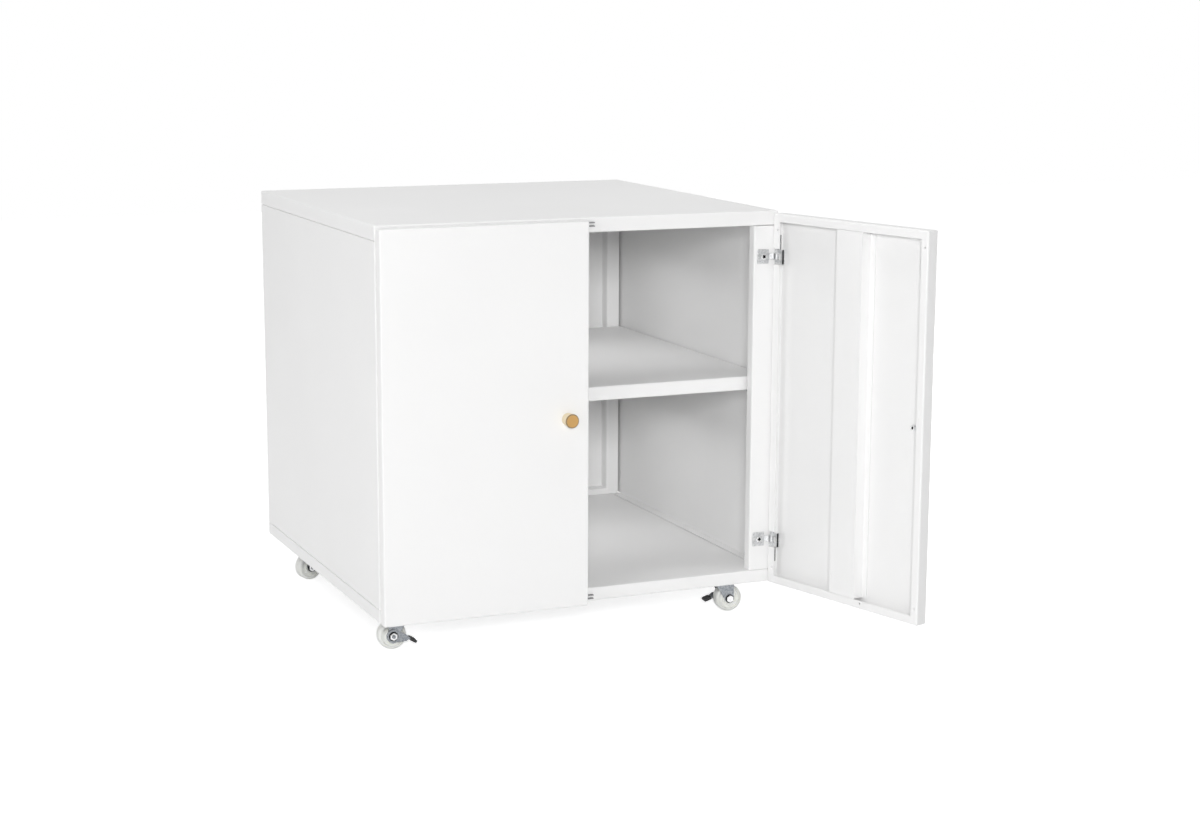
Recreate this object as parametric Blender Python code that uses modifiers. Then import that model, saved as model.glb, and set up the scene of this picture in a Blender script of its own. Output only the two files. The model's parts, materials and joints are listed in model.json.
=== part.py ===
"""Mobile steel cabinet: a two-door carcass with one shelf, standing on four swivel casters.

Metres, +Z up. +X is the cabinet's right as seen from the front, +Y its back. The origin is on the
floor, under the middle of the carcass. The left door is closed and the right door stands open.
"""

from math import cos, pi, radians, sin

import bmesh
import bpy
from mathutils import Matrix, Vector

# Overall sizes
WIDTH = 0.600
DEPTH = 0.566
BODY_HEIGHT = 0.542
CASTER_HEIGHT = 0.057

# Sheet metal
SHEET = 0.0010
FOLD = 0.0018
LIP = 0.012
SEAM = 0.0006
FIT = 0.0003

# Carcass
TOP_FLANGE = 0.0208
BASE_FLANGE = 0.0186
STILE = 0.038
STILE_RETURN = 0.0145
REAR_FLANGE = 0.021
FOOT_FLANGE = 0.0150
FOOT_RELIEF = 0.004
BACK_STEP = 0.020
BACK_FLANGE = 0.020
BACK_GAP = 0.0042
BACK_LEDGE = 0.009
RAIL_WIDTH = 0.070
RAIL_SHEET = 0.0015

# Shelf
SHELF_TOP = 0.302
SHELF_EDGE = 0.020
SHELF_SETBACK = 0.021
SHELF_SIDE_GAP = 0.0015
CLIP_SHEET = 0.0012
CLIP_REACH = 0.014
CLIP_DROP = 0.016
CLIP_LAP = 0.013

# Doors
DOOR_GAP = 0.004
DOOR_THICK = 0.018
DOOR_TOP_DROP = 0.0035
CENTRE_GAP = 0.002
DOOR_RETURN = 0.012
HINGE_RETURN = 0.0132
RIGHT_DOOR_ANGLE = 105.0
HAT_CROWN = 0.048
HAT_SLOPE = 0.0012
HAT_SHIFT = 0.003
HAT_FOOT = 0.009
VENT_R = 0.0017
VENT_FROM_END = 0.023
VENT_FROM_HINGE = 0.009
VENT_FROM_FREE = 0.0055
DRAIN_FROM_END = 0.008
DRAIN_FROM_MIDDLE = 0.040

# Hinges
HINGE_INSET = 0.005
HINGE_FORWARD = 0.007
HINGE_FROM_END = 0.065
HINGE_HEIGHT = 0.0205
LEAF_SHEET = 0.0012
LEAF_NEAR = 0.014
LEAF_FAR = 0.033
NECK_START = 0.0095
MIDDLE_KNUCKLE = 0.0085
PIN_R = 0.0015
PIN_HEAD = 0.0008
BRACKET_REACH = 0.0170
BRACKET_JOG = 0.0095
BRACKET_END = 0.0045
TAB_LENGTH = 0.021
TAB_EDGE = 0.0006
NOTCH_REACH = 0.0183
NOTCH_DEPTH = 0.0022
SCREW_R = 0.0020
SCREW_HEAD_R = 0.0035
SCREW_FLAT_R = 0.0025
SCREW_HEAD = 0.0009
SCREW_LENGTH = 0.009

# Knobs
KNOB_R = 0.0100
KNOB_NECK_R = 0.0085
KNOB_LENGTH = 0.018
KNOB_FROM_EDGE = 0.032
KNOB_HEIGHT = 0.268
KNOB_EDGE = 0.0016
STUD_R = 0.0020
STUD_DEPTH = 0.010
STUD_TAIL = 0.0085
WASHER_R = 0.0050
WASHER_THICK = 0.0010
NUT_R = 0.0039
NUT_THICK = 0.0032

# Magnetic catches
POLE_LENGTH = 0.030
POLE_THICK = 0.0012
POLE_PITCH = 0.0048
CATCH_DEPTH = 0.014
CATCH_HEIGHT = 0.0085
UPPER_CATCH_DROP = 0.0095
LOWER_CATCH_RISE = 0.0062

# Casters
KINGPIN_INSET = 0.057
KINGPIN_FROM_FRONT = 0.069
KINGPIN_FROM_BACK = 0.082
TRAIL = 0.018
WHEEL_R = 0.020
WHEEL_WIDTH = 0.018
TREAD_FLAT = 0.008
WHEEL_CROWN = 0.0012
WHEEL_EDGE = 0.0035
HUB_R = 0.0075
HUB_WIDTH = 0.0194
WEB_WIDTH = 0.009
RIM_WALL = 0.0055
AXLE_R = 0.0030
AXLE_HEAD_R = 0.0052
AXLE_HEAD = 0.0035
AXLE_CHAMFER = 0.0010
FORK_SHEET = 0.0020
FORK_BOSS_R = 0.0065
FORK_HEEL = 0.003
FORK_CROWN_R = 0.017
CROWN_SHOULDER = 0.002
CROWN_RISE = 0.0035
CUP_HEIGHT = 0.004
RACE_RISE = 0.0030
RACE_R = 0.0185
KINGPIN_R = 0.004
RIVET_R = 0.007
RIVET_FLAT_R = 0.0052
RIVET_HEAD = 0.0016
PLATE_LENGTH = 0.058
PLATE_WIDTH = 0.044
PLATE_THICK = 0.0025
PLATE_CORNER = 0.005
LEVER_SHEET = 0.0014
LEVER_BOSS_R = 0.0100
LEVER_ARM = 0.0045
TREAD_START = 0.024
TREAD_LENGTH = 0.0090
TREAD_SLOPE = 20.0
PAD_LENGTH = 0.012
PAD_WIDTH = 0.0132
PAD_THICK = 0.0050
BRAKE_DROP = 12.0

# Trailing directions of the casters, in degrees from +X, as they were left standing
SWIVELS = {"front_left": 176.0, "front_right": 354.0, "rear_left": 190.0, "rear_right": 338.0}

# Places worked out from the sizes
FRONT = -DEPTH / 2
BACK = DEPTH / 2
BASE_Z = CASTER_HEIGHT
TOP_Z = BASE_Z + BODY_HEIGHT
PANEL_LOW = BASE_Z + BASE_FLANGE + SEAM
PANEL_HIGH = TOP_Z - TOP_FLANGE - SEAM
DOOR_LOW = BASE_Z
DOOR_HIGH = TOP_Z - DOOR_TOP_DROP
DOOR_WIDTH = WIDTH / 2 - CENTRE_GAP / 2
SHELF_TOP_Z = BASE_Z + SHELF_TOP
SHELF_LOW_Z = SHELF_TOP_Z - SHELF_EDGE
BORE_R = PIN_R + FIT
BARREL_R = BORE_R + LEAF_SHEET
HINGE_Z = {"upper": TOP_Z - HINGE_FROM_END, "lower": BASE_Z + HINGE_FROM_END}
FORK_GAP = HUB_WIDTH + 2 * FIT
FORK_OUTER = FORK_GAP + 2 * FORK_SHEET
LEVER_OUTER = FORK_OUTER + 2 * (FIT + LEVER_SHEET)
CROWN_LOW_Z = 2 * WHEEL_R + CROWN_RISE
CROWN_HIGH_Z = CROWN_LOW_Z + FORK_SHEET
CUP_TOP_Z = CROWN_HIGH_Z + CUP_HEIGHT
PLATE_TOP_Z = CASTER_HEIGHT - FIT
PLATE_LOW_Z = PLATE_TOP_Z - PLATE_THICK

# Facets of round shapes, and the angles in degrees past which an edge is folded or stays sharp
WHEEL_STEPS = 24
ROUND_STEPS = 16
SMALL_STEPS = 10
ARC_STEPS = 8
FOLD_ANGLE = 40
SHARP_ANGLE = 35


for old in list(bpy.data.objects):
    bpy.data.objects.remove(old, do_unlink=True)

parts = bpy.data.collections.new("mobile_cabinet")
cutters = bpy.data.collections.new("cutters")
bpy.context.scene.collection.children.link(parts)
bpy.context.scene.collection.children.link(cutters)


def finish(name, colour, roughness, metallic):
    """A plain Principled material."""
    material = bpy.data.materials.new(name)
    material.use_nodes = True
    shader = material.node_tree.nodes["Principled BSDF"]
    shader.inputs["Base Color"].default_value = (*colour, 1.0)
    shader.inputs["Roughness"].default_value = roughness
    shader.inputs["Metallic"].default_value = metallic
    return material


WHITE_COAT = finish("white_powder_coat", (0.86, 0.86, 0.86), 0.45, 0.0)
ZINC = finish("zinc_plate", (0.62, 0.63, 0.64), 0.35, 1.0)
DARK_STEEL = finish("dark_pole_steel", (0.20, 0.20, 0.21), 0.45, 0.8)
KNOB_WOOD = finish("knob_wood", (0.62, 0.42, 0.22), 0.5, 0.0)
NYLON = finish("white_nylon", (0.88, 0.88, 0.86), 0.4, 0.0)
BLACK_PLASTIC = finish("black_plastic", (0.02, 0.02, 0.02), 0.5, 0.0)


# Helpers


def add_object(name, mesh, material, parent=None, matrix=None, collection=parts):
    """Link a mesh as a named object, placed in its parent's frame."""
    obj = bpy.data.objects.new(name, mesh)
    collection.objects.link(obj)
    if material and not mesh.materials:
        mesh.materials.append(material)
    obj.parent = parent
    if matrix:
        obj.matrix_local = matrix
    return obj


def add_empty(name, place, turn_z=0.0, parent=None):
    """An empty on a joint's axis, turned about Z."""
    empty = bpy.data.objects.new(name, None)
    parts.objects.link(empty)
    empty.parent = parent
    empty.location = place
    empty.rotation_euler = (0, 0, turn_z)
    return empty


def as_mesh(bm, name):
    """Turn a bmesh into a mesh."""
    mesh = bpy.data.meshes.new(name)
    bm.to_mesh(mesh)
    bm.free()
    return mesh


def settle(obj):
    """Replace an object's mesh by what its modifiers make of it, and drop the modifiers."""
    bpy.context.view_layer.update()
    evaluated = obj.evaluated_get(bpy.context.evaluated_depsgraph_get())
    mesh = bpy.data.meshes.new_from_object(evaluated)
    obj.modifiers.clear()
    obj.data = mesh
    return obj


def box_bmesh(low, high):
    """A box between two corners."""
    bm = bmesh.new()
    bmesh.ops.create_cube(bm, size=1.0)
    size = [h - l for l, h in zip(low, high)]
    centre = [(h + l) / 2 for l, h in zip(low, high)]
    bmesh.ops.transform(bm, matrix=Matrix.LocRotScale(centre, None, size), verts=bm.verts)
    return bm


def arc(centre, radius, start, end, steps=ARC_STEPS):
    """Points on an arc, with its angles in degrees."""
    angles = [radians(start + (end - start) * i / steps) for i in range(steps + 1)]
    return [(centre[0] + radius * cos(a), centre[1] + radius * sin(a)) for a in angles]


def ribbon(path, thickness):
    """The closed outline of a bent strip whose middle line is the path."""
    left, right = [], []
    for i, point in enumerate(path):
        here = Vector(point)
        before = (here - Vector(path[i - 1])).normalized() if i else None
        after = (Vector(path[i + 1]) - here).normalized() if i + 1 < len(path) else None
        along = (before or after) + (after or before)
        along.normalize()
        square = Vector((-along.y, along.x))
        reach = thickness / 2 / along.dot(after or before)
        left.append(here + square * reach)
        right.append(here - square * reach)
    return [(p.x, p.y) for p in left + right[::-1]]


def prism_mesh(name, outline, low, high):
    """A flat outline in XY, filled and extruded from low to high along Z."""
    curve = bpy.data.curves.new(name, "CURVE")
    curve.dimensions = "2D"
    curve.fill_mode = "BOTH"
    curve.extrude = (high - low) / 2
    spline = curve.splines.new("POLY")
    spline.points.add(len(outline) - 1)
    for point, (x, y) in zip(spline.points, outline):
        point.co = (x, y, 0, 1)
    spline.use_cyclic_u = True
    obj = bpy.data.objects.new(name, curve)
    bpy.context.scene.collection.objects.link(obj)
    bpy.context.view_layer.update()
    evaluated = obj.evaluated_get(bpy.context.evaluated_depsgraph_get())
    mesh = bpy.data.meshes.new_from_object(evaluated)
    bpy.data.objects.remove(obj, do_unlink=True)
    bm = bmesh.new()
    bm.from_mesh(mesh)
    bmesh.ops.remove_doubles(bm, verts=bm.verts, dist=1e-6)
    bmesh.ops.translate(bm, verts=bm.verts, vec=(0, 0, (low + high) / 2))
    bmesh.ops.recalc_face_normals(bm, faces=bm.faces)
    bm.to_mesh(mesh)
    bm.free()
    return mesh


# Turns that take an XY outline to another plane: its X and Y run along the named axes
OUTLINE_IN_YZ = Matrix(((0, 0, 1, 0), (1, 0, 0, 0), (0, 1, 0, 0), (0, 0, 0, 1)))
OUTLINE_IN_XZ = Matrix(((1, 0, 0, 0), (0, 0, -1, 0), (0, 1, 0, 0), (0, 0, 0, 1)))
# The turn that lays a turned piece's axis along +Y
AXIS_ON_Y = Matrix.Rotation(-pi / 2, 4, "X")


def turned(name, profile, steps, material, closed=False, parent=None, matrix=None, collection=parts):
    """A turned piece about Z: the profile of radius and height runs down its outer side."""
    count = len(profile)
    edges = [(i, i + 1) for i in range(count - 1)] + ([(count - 1, 0)] if closed else [])
    mesh = bpy.data.meshes.new(name)
    mesh.from_pydata([(r, 0, z) for r, z in profile], edges, [])
    obj = add_object(name, mesh, material, parent, matrix, collection)
    screw = obj.modifiers.new("turn", "SCREW")
    screw.axis = "Z"
    screw.steps = steps
    screw.render_steps = steps
    screw.use_merge_vertices = True
    screw.merge_threshold = 1e-5
    screw.use_smooth_shade = True
    return obj


def fold_and_thicken(obj, radius=FOLD, thickness=SHEET):
    """Round the folds of an open sheet and give it thickness on the inside."""
    bend = obj.modifiers.new("folds", "BEVEL")
    bend.width = radius
    bend.segments = 2
    bend.limit_method = "ANGLE"
    bend.angle_limit = radians(FOLD_ANGLE)
    wall = obj.modifiers.new("sheet", "SOLIDIFY")
    wall.thickness = thickness
    wall.offset = -1
    wall.use_even_offset = True
    wall.use_quality_normals = True
    return obj


def tray_bmesh(low, high, open_side, lip):
    """A box open on one side, with a lip turned in round the opening."""
    bm = box_bmesh(low, high)
    bm.normal_update()
    face = max(bm.faces, key=lambda f: f.normal.dot(Vector(open_side)))
    bmesh.ops.inset_region(bm, faces=[face], thickness=lip, use_even_offset=True)
    bmesh.ops.delete(bm, geom=[face], context="FACES_ONLY")
    return bm


def cutter_of(name, meshes):
    """One hidden cutter made of several closed shapes, each a mesh with its place."""
    bm = bmesh.new()
    for mesh, matrix in meshes:
        start = len(bm.verts)
        bm.from_mesh(mesh)
        bm.verts.ensure_lookup_table()
        bmesh.ops.transform(bm, matrix=matrix, verts=bm.verts[start:])
    obj = add_object(name, as_mesh(bm, name), None, collection=cutters)
    obj.hide_render = True
    obj.display_type = "WIRE"
    return obj


def boolean(obj, other, operation="DIFFERENCE"):
    """Cut or join with another object, which is kept hidden."""
    if operation != "DIFFERENCE":
        other.hide_render = True
        other.display_type = "WIRE"
    step = obj.modifiers.new(operation.lower(), "BOOLEAN")
    step.operation = operation
    step.solver = "EXACT"
    step.object = other
    return obj


def box_mesh(low, high):
    """A box between two opposite corners, in any order, as a mesh."""
    ends = [sorted(pair) for pair in zip(low, high)]
    return as_mesh(box_bmesh([e[0] for e in ends], [e[1] for e in ends]), "box")


def rod_mesh(radius, length, steps=SMALL_STEPS):
    """A round rod about Z, centred on the origin."""
    bm = bmesh.new()
    bmesh.ops.create_cone(
        bm, cap_ends=True, segments=steps, radius1=radius, radius2=radius, depth=length
    )
    return as_mesh(bm, "rod")


def smooth(obj):
    """Shade a round piece smooth, keeping its sharp edges."""
    obj.data.shade_smooth()
    obj.data.set_sharp_from_angle(angle=radians(SHARP_ANGLE))
    return obj


# Carcass


def catch_slots(rail_z):
    """Slots in a front rail for the two pole strips of a catch."""
    half = POLE_LENGTH / 2 + FIT
    slot = POLE_THICK / 2 + FIT
    slots = []
    for side in (-1, 1):
        z = rail_z + side * POLE_PITCH / 2
        low = (-half, FRONT - SHEET, z - slot)
        high = (half, FRONT + 2 * SHEET, z + slot)
        slots.append((box_mesh(low, high), Matrix()))
    return slots


UPPER_CATCH_Z = TOP_Z - UPPER_CATCH_DROP
LOWER_CATCH_Z = BASE_Z + LOWER_CATCH_RISE


def make_top_and_base():
    """The top is a tray turned down, and the base the same, its upper sheet the cabinet's floor."""
    trays = (
        ("top_panel", TOP_Z - TOP_FLANGE, TOP_Z, UPPER_CATCH_Z),
        ("base_panel", BASE_Z, BASE_Z + BASE_FLANGE, LOWER_CATCH_Z),
    )
    for name, low_z, high_z, catch_z in trays:
        low = (-WIDTH / 2, FRONT, low_z)
        high = (WIDTH / 2, BACK, high_z)
        sheet = add_object(name, as_mesh(tray_bmesh(low, high, (0, 0, -1), LIP), name), WHITE_COAT)
        fold_and_thicken(sheet)
        boolean(sheet, cutter_of(name + "_slots", catch_slots(catch_z)))


def pull_out(bm, edges, shift):
    """Extrude edges of a sheet and move the new ones: a folded flange."""
    grown = bmesh.ops.extrude_edge_only(bm, edges=edges)["geom"]
    verts = [g for g in grown if isinstance(g, bmesh.types.BMVert)]
    bmesh.ops.translate(bm, verts=verts, vec=shift)
    new_edges = [g for g in grown if isinstance(g, bmesh.types.BMEdge)]
    return [e for e in new_edges if all(v in verts for v in e.verts)]


def hinge_screw_place(side, level):
    """Where a frame leaf's screw goes through the stile."""
    x = side * (WIDTH / 2 - (LEAF_NEAR + LEAF_FAR) / 2)
    return Vector((x, FRONT, HINGE_Z[level]))


def make_side_panel(name, side):
    """A wall with a front stile and its return, a rear flange and a foot on the cabinet's floor."""
    x = side * WIDTH / 2
    bm = bmesh.new()
    bmesh.ops.create_grid(bm, x_segments=1, y_segments=1, size=0.5)
    height, middle = PANEL_HIGH - PANEL_LOW, (PANEL_HIGH + PANEL_LOW) / 2
    place = Matrix(((0, 0, side, x), (DEPTH, 0, 0, 0), (0, height, 0, middle), (0, 0, 0, 1)))
    bmesh.ops.transform(bm, matrix=place, verts=bm.verts)
    foot_ends = (FRONT + FOOT_RELIEF, BACK - BACK_STEP - SHEET - FOOT_RELIEF)
    for y in foot_ends:
        everything = bm.verts[:] + bm.edges[:] + bm.faces[:]
        bmesh.ops.bisect_plane(bm, geom=everything, plane_co=(0, y, 0), plane_no=(0, 1, 0))

    def edges_at(test):
        return [e for e in bm.edges if test((e.verts[0].co + e.verts[1].co) / 2)]

    tiny = 1e-5
    foot = edges_at(lambda m: abs(m.z - PANEL_LOW) < tiny and foot_ends[0] < m.y < foot_ends[1])
    front = edges_at(lambda m: abs(m.y - FRONT) < tiny)
    rear = edges_at(lambda m: abs(m.y - BACK) < tiny)
    pull_out(bm, foot, (-side * FOOT_FLANGE, 0, 0))
    pull_out(bm, rear, (-side * REAR_FLANGE, 0, 0))
    stile = pull_out(bm, front, (-side * STILE, 0, 0))
    inner = [e for e in stile if abs(e.verts[0].co.x - e.verts[1].co.x) < tiny]
    pull_out(bm, inner, (0, STILE_RETURN, 0))
    bmesh.ops.recalc_face_normals(bm, faces=bm.faces)
    bm.normal_update()
    wall = max(bm.faces, key=lambda f: f.calc_area())
    if wall.normal.x * side < 0:
        bmesh.ops.reverse_faces(bm, faces=bm.faces)
    panel = fold_and_thicken(add_object(name, as_mesh(bm, name), WHITE_COAT))
    holes = []
    for level in HINGE_Z:
        matrix = Matrix.Translation(hinge_screw_place(side, level)) @ AXIS_ON_Y
        holes.append((rod_mesh(SCREW_R + FIT, 6 * SHEET), matrix))
    boolean(panel, cutter_of(name + "_holes", holes))


BACK_HALF = WIDTH / 2 - SHEET - BACK_GAP


def make_back_panel():
    """A pan let in from behind: its rim stands forward of the sheet, against the side walls."""
    inner = BACK_HALF - BACK_FLANGE
    low = (-inner, BACK - BACK_STEP, PANEL_LOW + BACK_LEDGE)
    high = (inner, BACK, PANEL_HIGH - BACK_LEDGE)
    bm = box_bmesh(low, high)
    bm.normal_update()
    mouth = min(bm.faces, key=lambda f: f.normal.y)
    rim = list(mouth.edges)
    bmesh.ops.delete(bm, geom=[mouth], context="FACES_ONLY")
    grown = bmesh.ops.extrude_edge_only(bm, edges=rim)["geom"]
    for vert in (g for g in grown if isinstance(g, bmesh.types.BMVert)):
        vert.co.x = BACK_HALF if vert.co.x > 0 else -BACK_HALF
        vert.co.z = PANEL_HIGH if vert.co.z > (PANEL_LOW + PANEL_HIGH) / 2 else PANEL_LOW
    fold_and_thicken(add_object("back_panel", as_mesh(bm, "back_panel"), WHITE_COAT))


CASTER_Y = {"front": FRONT + KINGPIN_FROM_FRONT, "rear": BACK - KINGPIN_FROM_BACK}


def make_caster_rails():
    """Channels under the cabinet's floor that the casters bolt to."""
    half = WIDTH / 2 - LIP - SHEET
    low = BASE_Z + RAIL_SHEET / 2
    high = BASE_Z + BASE_FLANGE - SHEET - FIT
    for end, y in CASTER_Y.items():
        edge = RAIL_WIDTH / 2 - RAIL_SHEET / 2
        path = [(y - edge, high), (y - edge, low), (y + edge, low), (y + edge, high)]
        mesh = prism_mesh("rail", ribbon(path, RAIL_SHEET), -half, half)
        add_object(end + "_caster_rail", mesh, ZINC, matrix=OUTLINE_IN_YZ)


def make_shelf():
    """A pan on four clips: the front pair on the stiles' returns, the rear pair on the back panel."""
    half = WIDTH / 2 - SHEET - SHELF_SIDE_GAP
    rim_y = BACK - BACK_STEP - SHEET
    low = (-half, FRONT + SHELF_SETBACK, SHELF_LOW_Z)
    high = (half, rim_y - SHELF_SIDE_GAP, SHELF_TOP_Z)
    pan = as_mesh(tray_bmesh(low, high, (0, 0, -1), LIP), "shelf")
    fold_and_thicken(add_object("shelf", pan, WHITE_COAT))

    seat = SHELF_LOW_Z - FIT - CLIP_SHEET / 2
    foot = seat - CLIP_DROP
    for side, word in ((-1, "left"), (1, "right")):
        near = WIDTH / 2 - STILE + SHEET + FIT + CLIP_SHEET / 2
        path = [(side * near, foot), (side * near, seat), (side * (near + CLIP_REACH), seat)]
        start = FRONT + SHEET + SEAM
        end = FRONT + SHELF_SETBACK + CLIP_LAP
        mesh = prism_mesh("clip", ribbon(path, CLIP_SHEET), -end, -start)
        clip = add_object("front_" + word + "_shelf_clip", mesh, ZINC, matrix=OUTLINE_IN_XZ)
        corner = (side * (near - CLIP_SHEET), FRONT + STILE_RETURN, foot - FIT)
        past_return = box_mesh(corner, (side * (near + CLIP_SHEET), end + FIT, seat - CLIP_SHEET / 2))
        boolean(clip, cutter_of("front_" + word + "_clip_cut", [(past_return, Matrix())]))
        settle(clip)
        wall = rim_y - FIT - CLIP_SHEET / 2
        path = [(wall, foot), (wall, seat), (wall - CLIP_REACH, seat)]
        ends = sorted((side * (BACK_HALF - SEAM), side * (BACK_HALF - SEAM - CLIP_REACH)))
        mesh = prism_mesh("clip", ribbon(path, CLIP_SHEET), *ends)
        add_object("rear_" + word + "_shelf_clip", mesh, ZINC, matrix=OUTLINE_IN_YZ)


def make_catch(name, z):
    """A magnet behind the rail, whose two pole strips reach through it towards the doors."""
    back = FRONT + SHEET + FIT + CATCH_DEPTH
    face = FRONT + SHEET + FIT
    tip = FRONT - DOOR_GAP + 2 * FIT
    half = CATCH_HEIGHT / 2
    near, far = POLE_PITCH / 2 - POLE_THICK / 2, POLE_PITCH / 2 + POLE_THICK / 2
    outline = [(back, z - half), (back, z + half), (face, z + half)]
    outline += [(face, z + far), (tip, z + far), (tip, z + near), (face, z + near)]
    outline += [(face, z - near), (tip, z - near), (tip, z - far), (face, z - far), (face, z - half)]
    mesh = prism_mesh(name, outline, -POLE_LENGTH / 2, POLE_LENGTH / 2)
    add_object(name, mesh, DARK_STEEL, matrix=OUTLINE_IN_YZ)


# Doors. They are modelled closed, in the frame of an empty on the hinge axis, in which
# x runs from the axis to the free edge times the door's side, and y to the back.


def hinge_axis(side):
    """Where a door's hinge axis meets the floor."""
    return Vector((side * (WIDTH / 2 - HINGE_INSET), FRONT - HINGE_FORWARD, 0))


INNER_Y = HINGE_FORWARD - DOOR_GAP
OUTER_Y = INNER_Y - DOOR_THICK
HINGE_EDGE = HINGE_INSET
FREE_EDGE = HINGE_INSET - DOOR_WIDTH


def door_cuts(side):
    """Notches at the hinges, vent holes in the side returns, a drain and the knob's hole."""
    cuts = []
    square = HINGE_HEIGHT / 2 + FIT + PIN_HEAD + FIT
    for z in HINGE_Z.values():
        low = (side * (HINGE_EDGE - NOTCH_REACH), INNER_Y - NOTCH_DEPTH, z - square)
        high = (side * (HINGE_EDGE + SHEET), INNER_Y + SHEET, z + square)
        cuts.append((box_mesh(low, high), Matrix()))
    spots = []
    for edge, inward in ((HINGE_EDGE, -VENT_FROM_HINGE), (FREE_EDGE, VENT_FROM_FREE)):
        spots += [(edge + inward, z) for z in (DOOR_LOW + VENT_FROM_END, DOOR_HIGH - VENT_FROM_END)]
    middle = (HINGE_EDGE + FREE_EDGE) / 2
    spots.append((middle - DRAIN_FROM_MIDDLE, DOOR_LOW + DRAIN_FROM_END))
    for x, z in spots:
        matrix = Matrix.Translation((side * x, INNER_Y, z)) @ AXIS_ON_Y
        cuts.append((rod_mesh(VENT_R, 4 * SHEET), matrix))
    cuts.append((rod_mesh(STUD_R + FIT, 6 * SHEET), knob_place(side) @ AXIS_ON_Y))
    return cuts


def knob_place(side):
    """Where the knob's stud goes through the door's face."""
    return Matrix.Translation((side * (FREE_EDGE + KNOB_FROM_EDGE), OUTER_Y, BASE_Z + KNOB_HEIGHT))


def make_door(word, side, turn):
    """A pan with returns all round, a hat-section stiffener, and a knob on a stud."""
    hinge = add_empty(word + "_door_hinge", hinge_axis(side), radians(turn))
    ends = sorted((side * HINGE_EDGE, side * FREE_EDGE))
    low = (ends[0], OUTER_Y, DOOR_LOW)
    high = (ends[1], INNER_Y, DOOR_HIGH)
    bm = tray_bmesh(low, high, (0, 1, 0), DOOR_RETURN)
    inner_edge = HINGE_EDGE - DOOR_RETURN
    for vert in bm.verts:
        if abs(vert.co.x - side * inner_edge) < 1e-5:
            vert.co.x = side * (HINGE_EDGE - HINGE_RETURN)
    pan = add_object(word + "_door", as_mesh(bm, word + "_door"), WHITE_COAT, hinge)
    fold_and_thicken(pan)
    cut = cutter_of(word + "_door_cuts", door_cuts(side))
    cut.parent = hinge
    boolean(pan, cut)

    middle = (HINGE_EDGE + FREE_EDGE) / 2 - HAT_SHIFT
    crown_y = INNER_Y - SHEET / 2
    foot_y = OUTER_Y + SHEET + FIT + SHEET / 2
    half_crown = HAT_CROWN / 2
    half_foot = half_crown + HAT_SLOPE
    path = [(-half_foot - HAT_FOOT, foot_y), (-half_foot, foot_y), (-half_crown, crown_y)]
    path += [(-x, y) for x, y in path[::-1]]
    path = [(side * middle + x, y) for x, y in path]
    foot, head = DOOR_LOW + DOOR_RETURN + FIT, DOOR_HIGH - DOOR_RETURN - FIT
    hat = prism_mesh("hat", ribbon(path, SHEET), foot, head)
    add_object(word + "_door_stiffener", hat, WHITE_COAT, hinge)
    make_knob(word, side, hinge)


def make_knob(word, side, hinge):
    """A turned knob against the door's face, and the stud with washer and nut that holds it."""
    face = knob_place(side) @ Matrix.Rotation(pi / 2, 4, "X")
    top = FIT + KNOB_LENGTH
    hole = STUD_R + FIT
    profile = [(0, top), (KNOB_R - 2 * KNOB_EDGE, top)]
    profile += [(KNOB_R - KNOB_EDGE * (1 - cos(a)), top - KNOB_EDGE * (1 - sin(a)))
                for a in (pi / 3, pi / 6, 0)]
    profile += [(KNOB_R, KNOB_LENGTH / 2), (KNOB_NECK_R, FIT), (hole, FIT)]
    profile += [(hole, FIT + STUD_DEPTH + FIT), (0, FIT + STUD_DEPTH + FIT)]
    smooth(settle(turned(word + "_knob", profile, ROUND_STEPS, KNOB_WOOD, parent=hinge, matrix=face)))

    seat = -SHEET - FIT
    washer = seat - WASHER_THICK
    nut = washer - NUT_THICK
    profile = [(0, FIT + STUD_DEPTH), (STUD_R, FIT + STUD_DEPTH), (STUD_R, seat), (WASHER_R, seat)]
    profile += [(WASHER_R, washer), (NUT_R, washer), (NUT_R, nut), (STUD_R, nut)]
    profile += [(STUD_R, seat - STUD_TAIL), (0, seat - STUD_TAIL)]
    smooth(settle(turned(word + "_knob_screw", profile, SMALL_STEPS, ZINC, parent=hinge, matrix=face)))


# Hinges, in the frame of the hinge axis as the doors are


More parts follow.
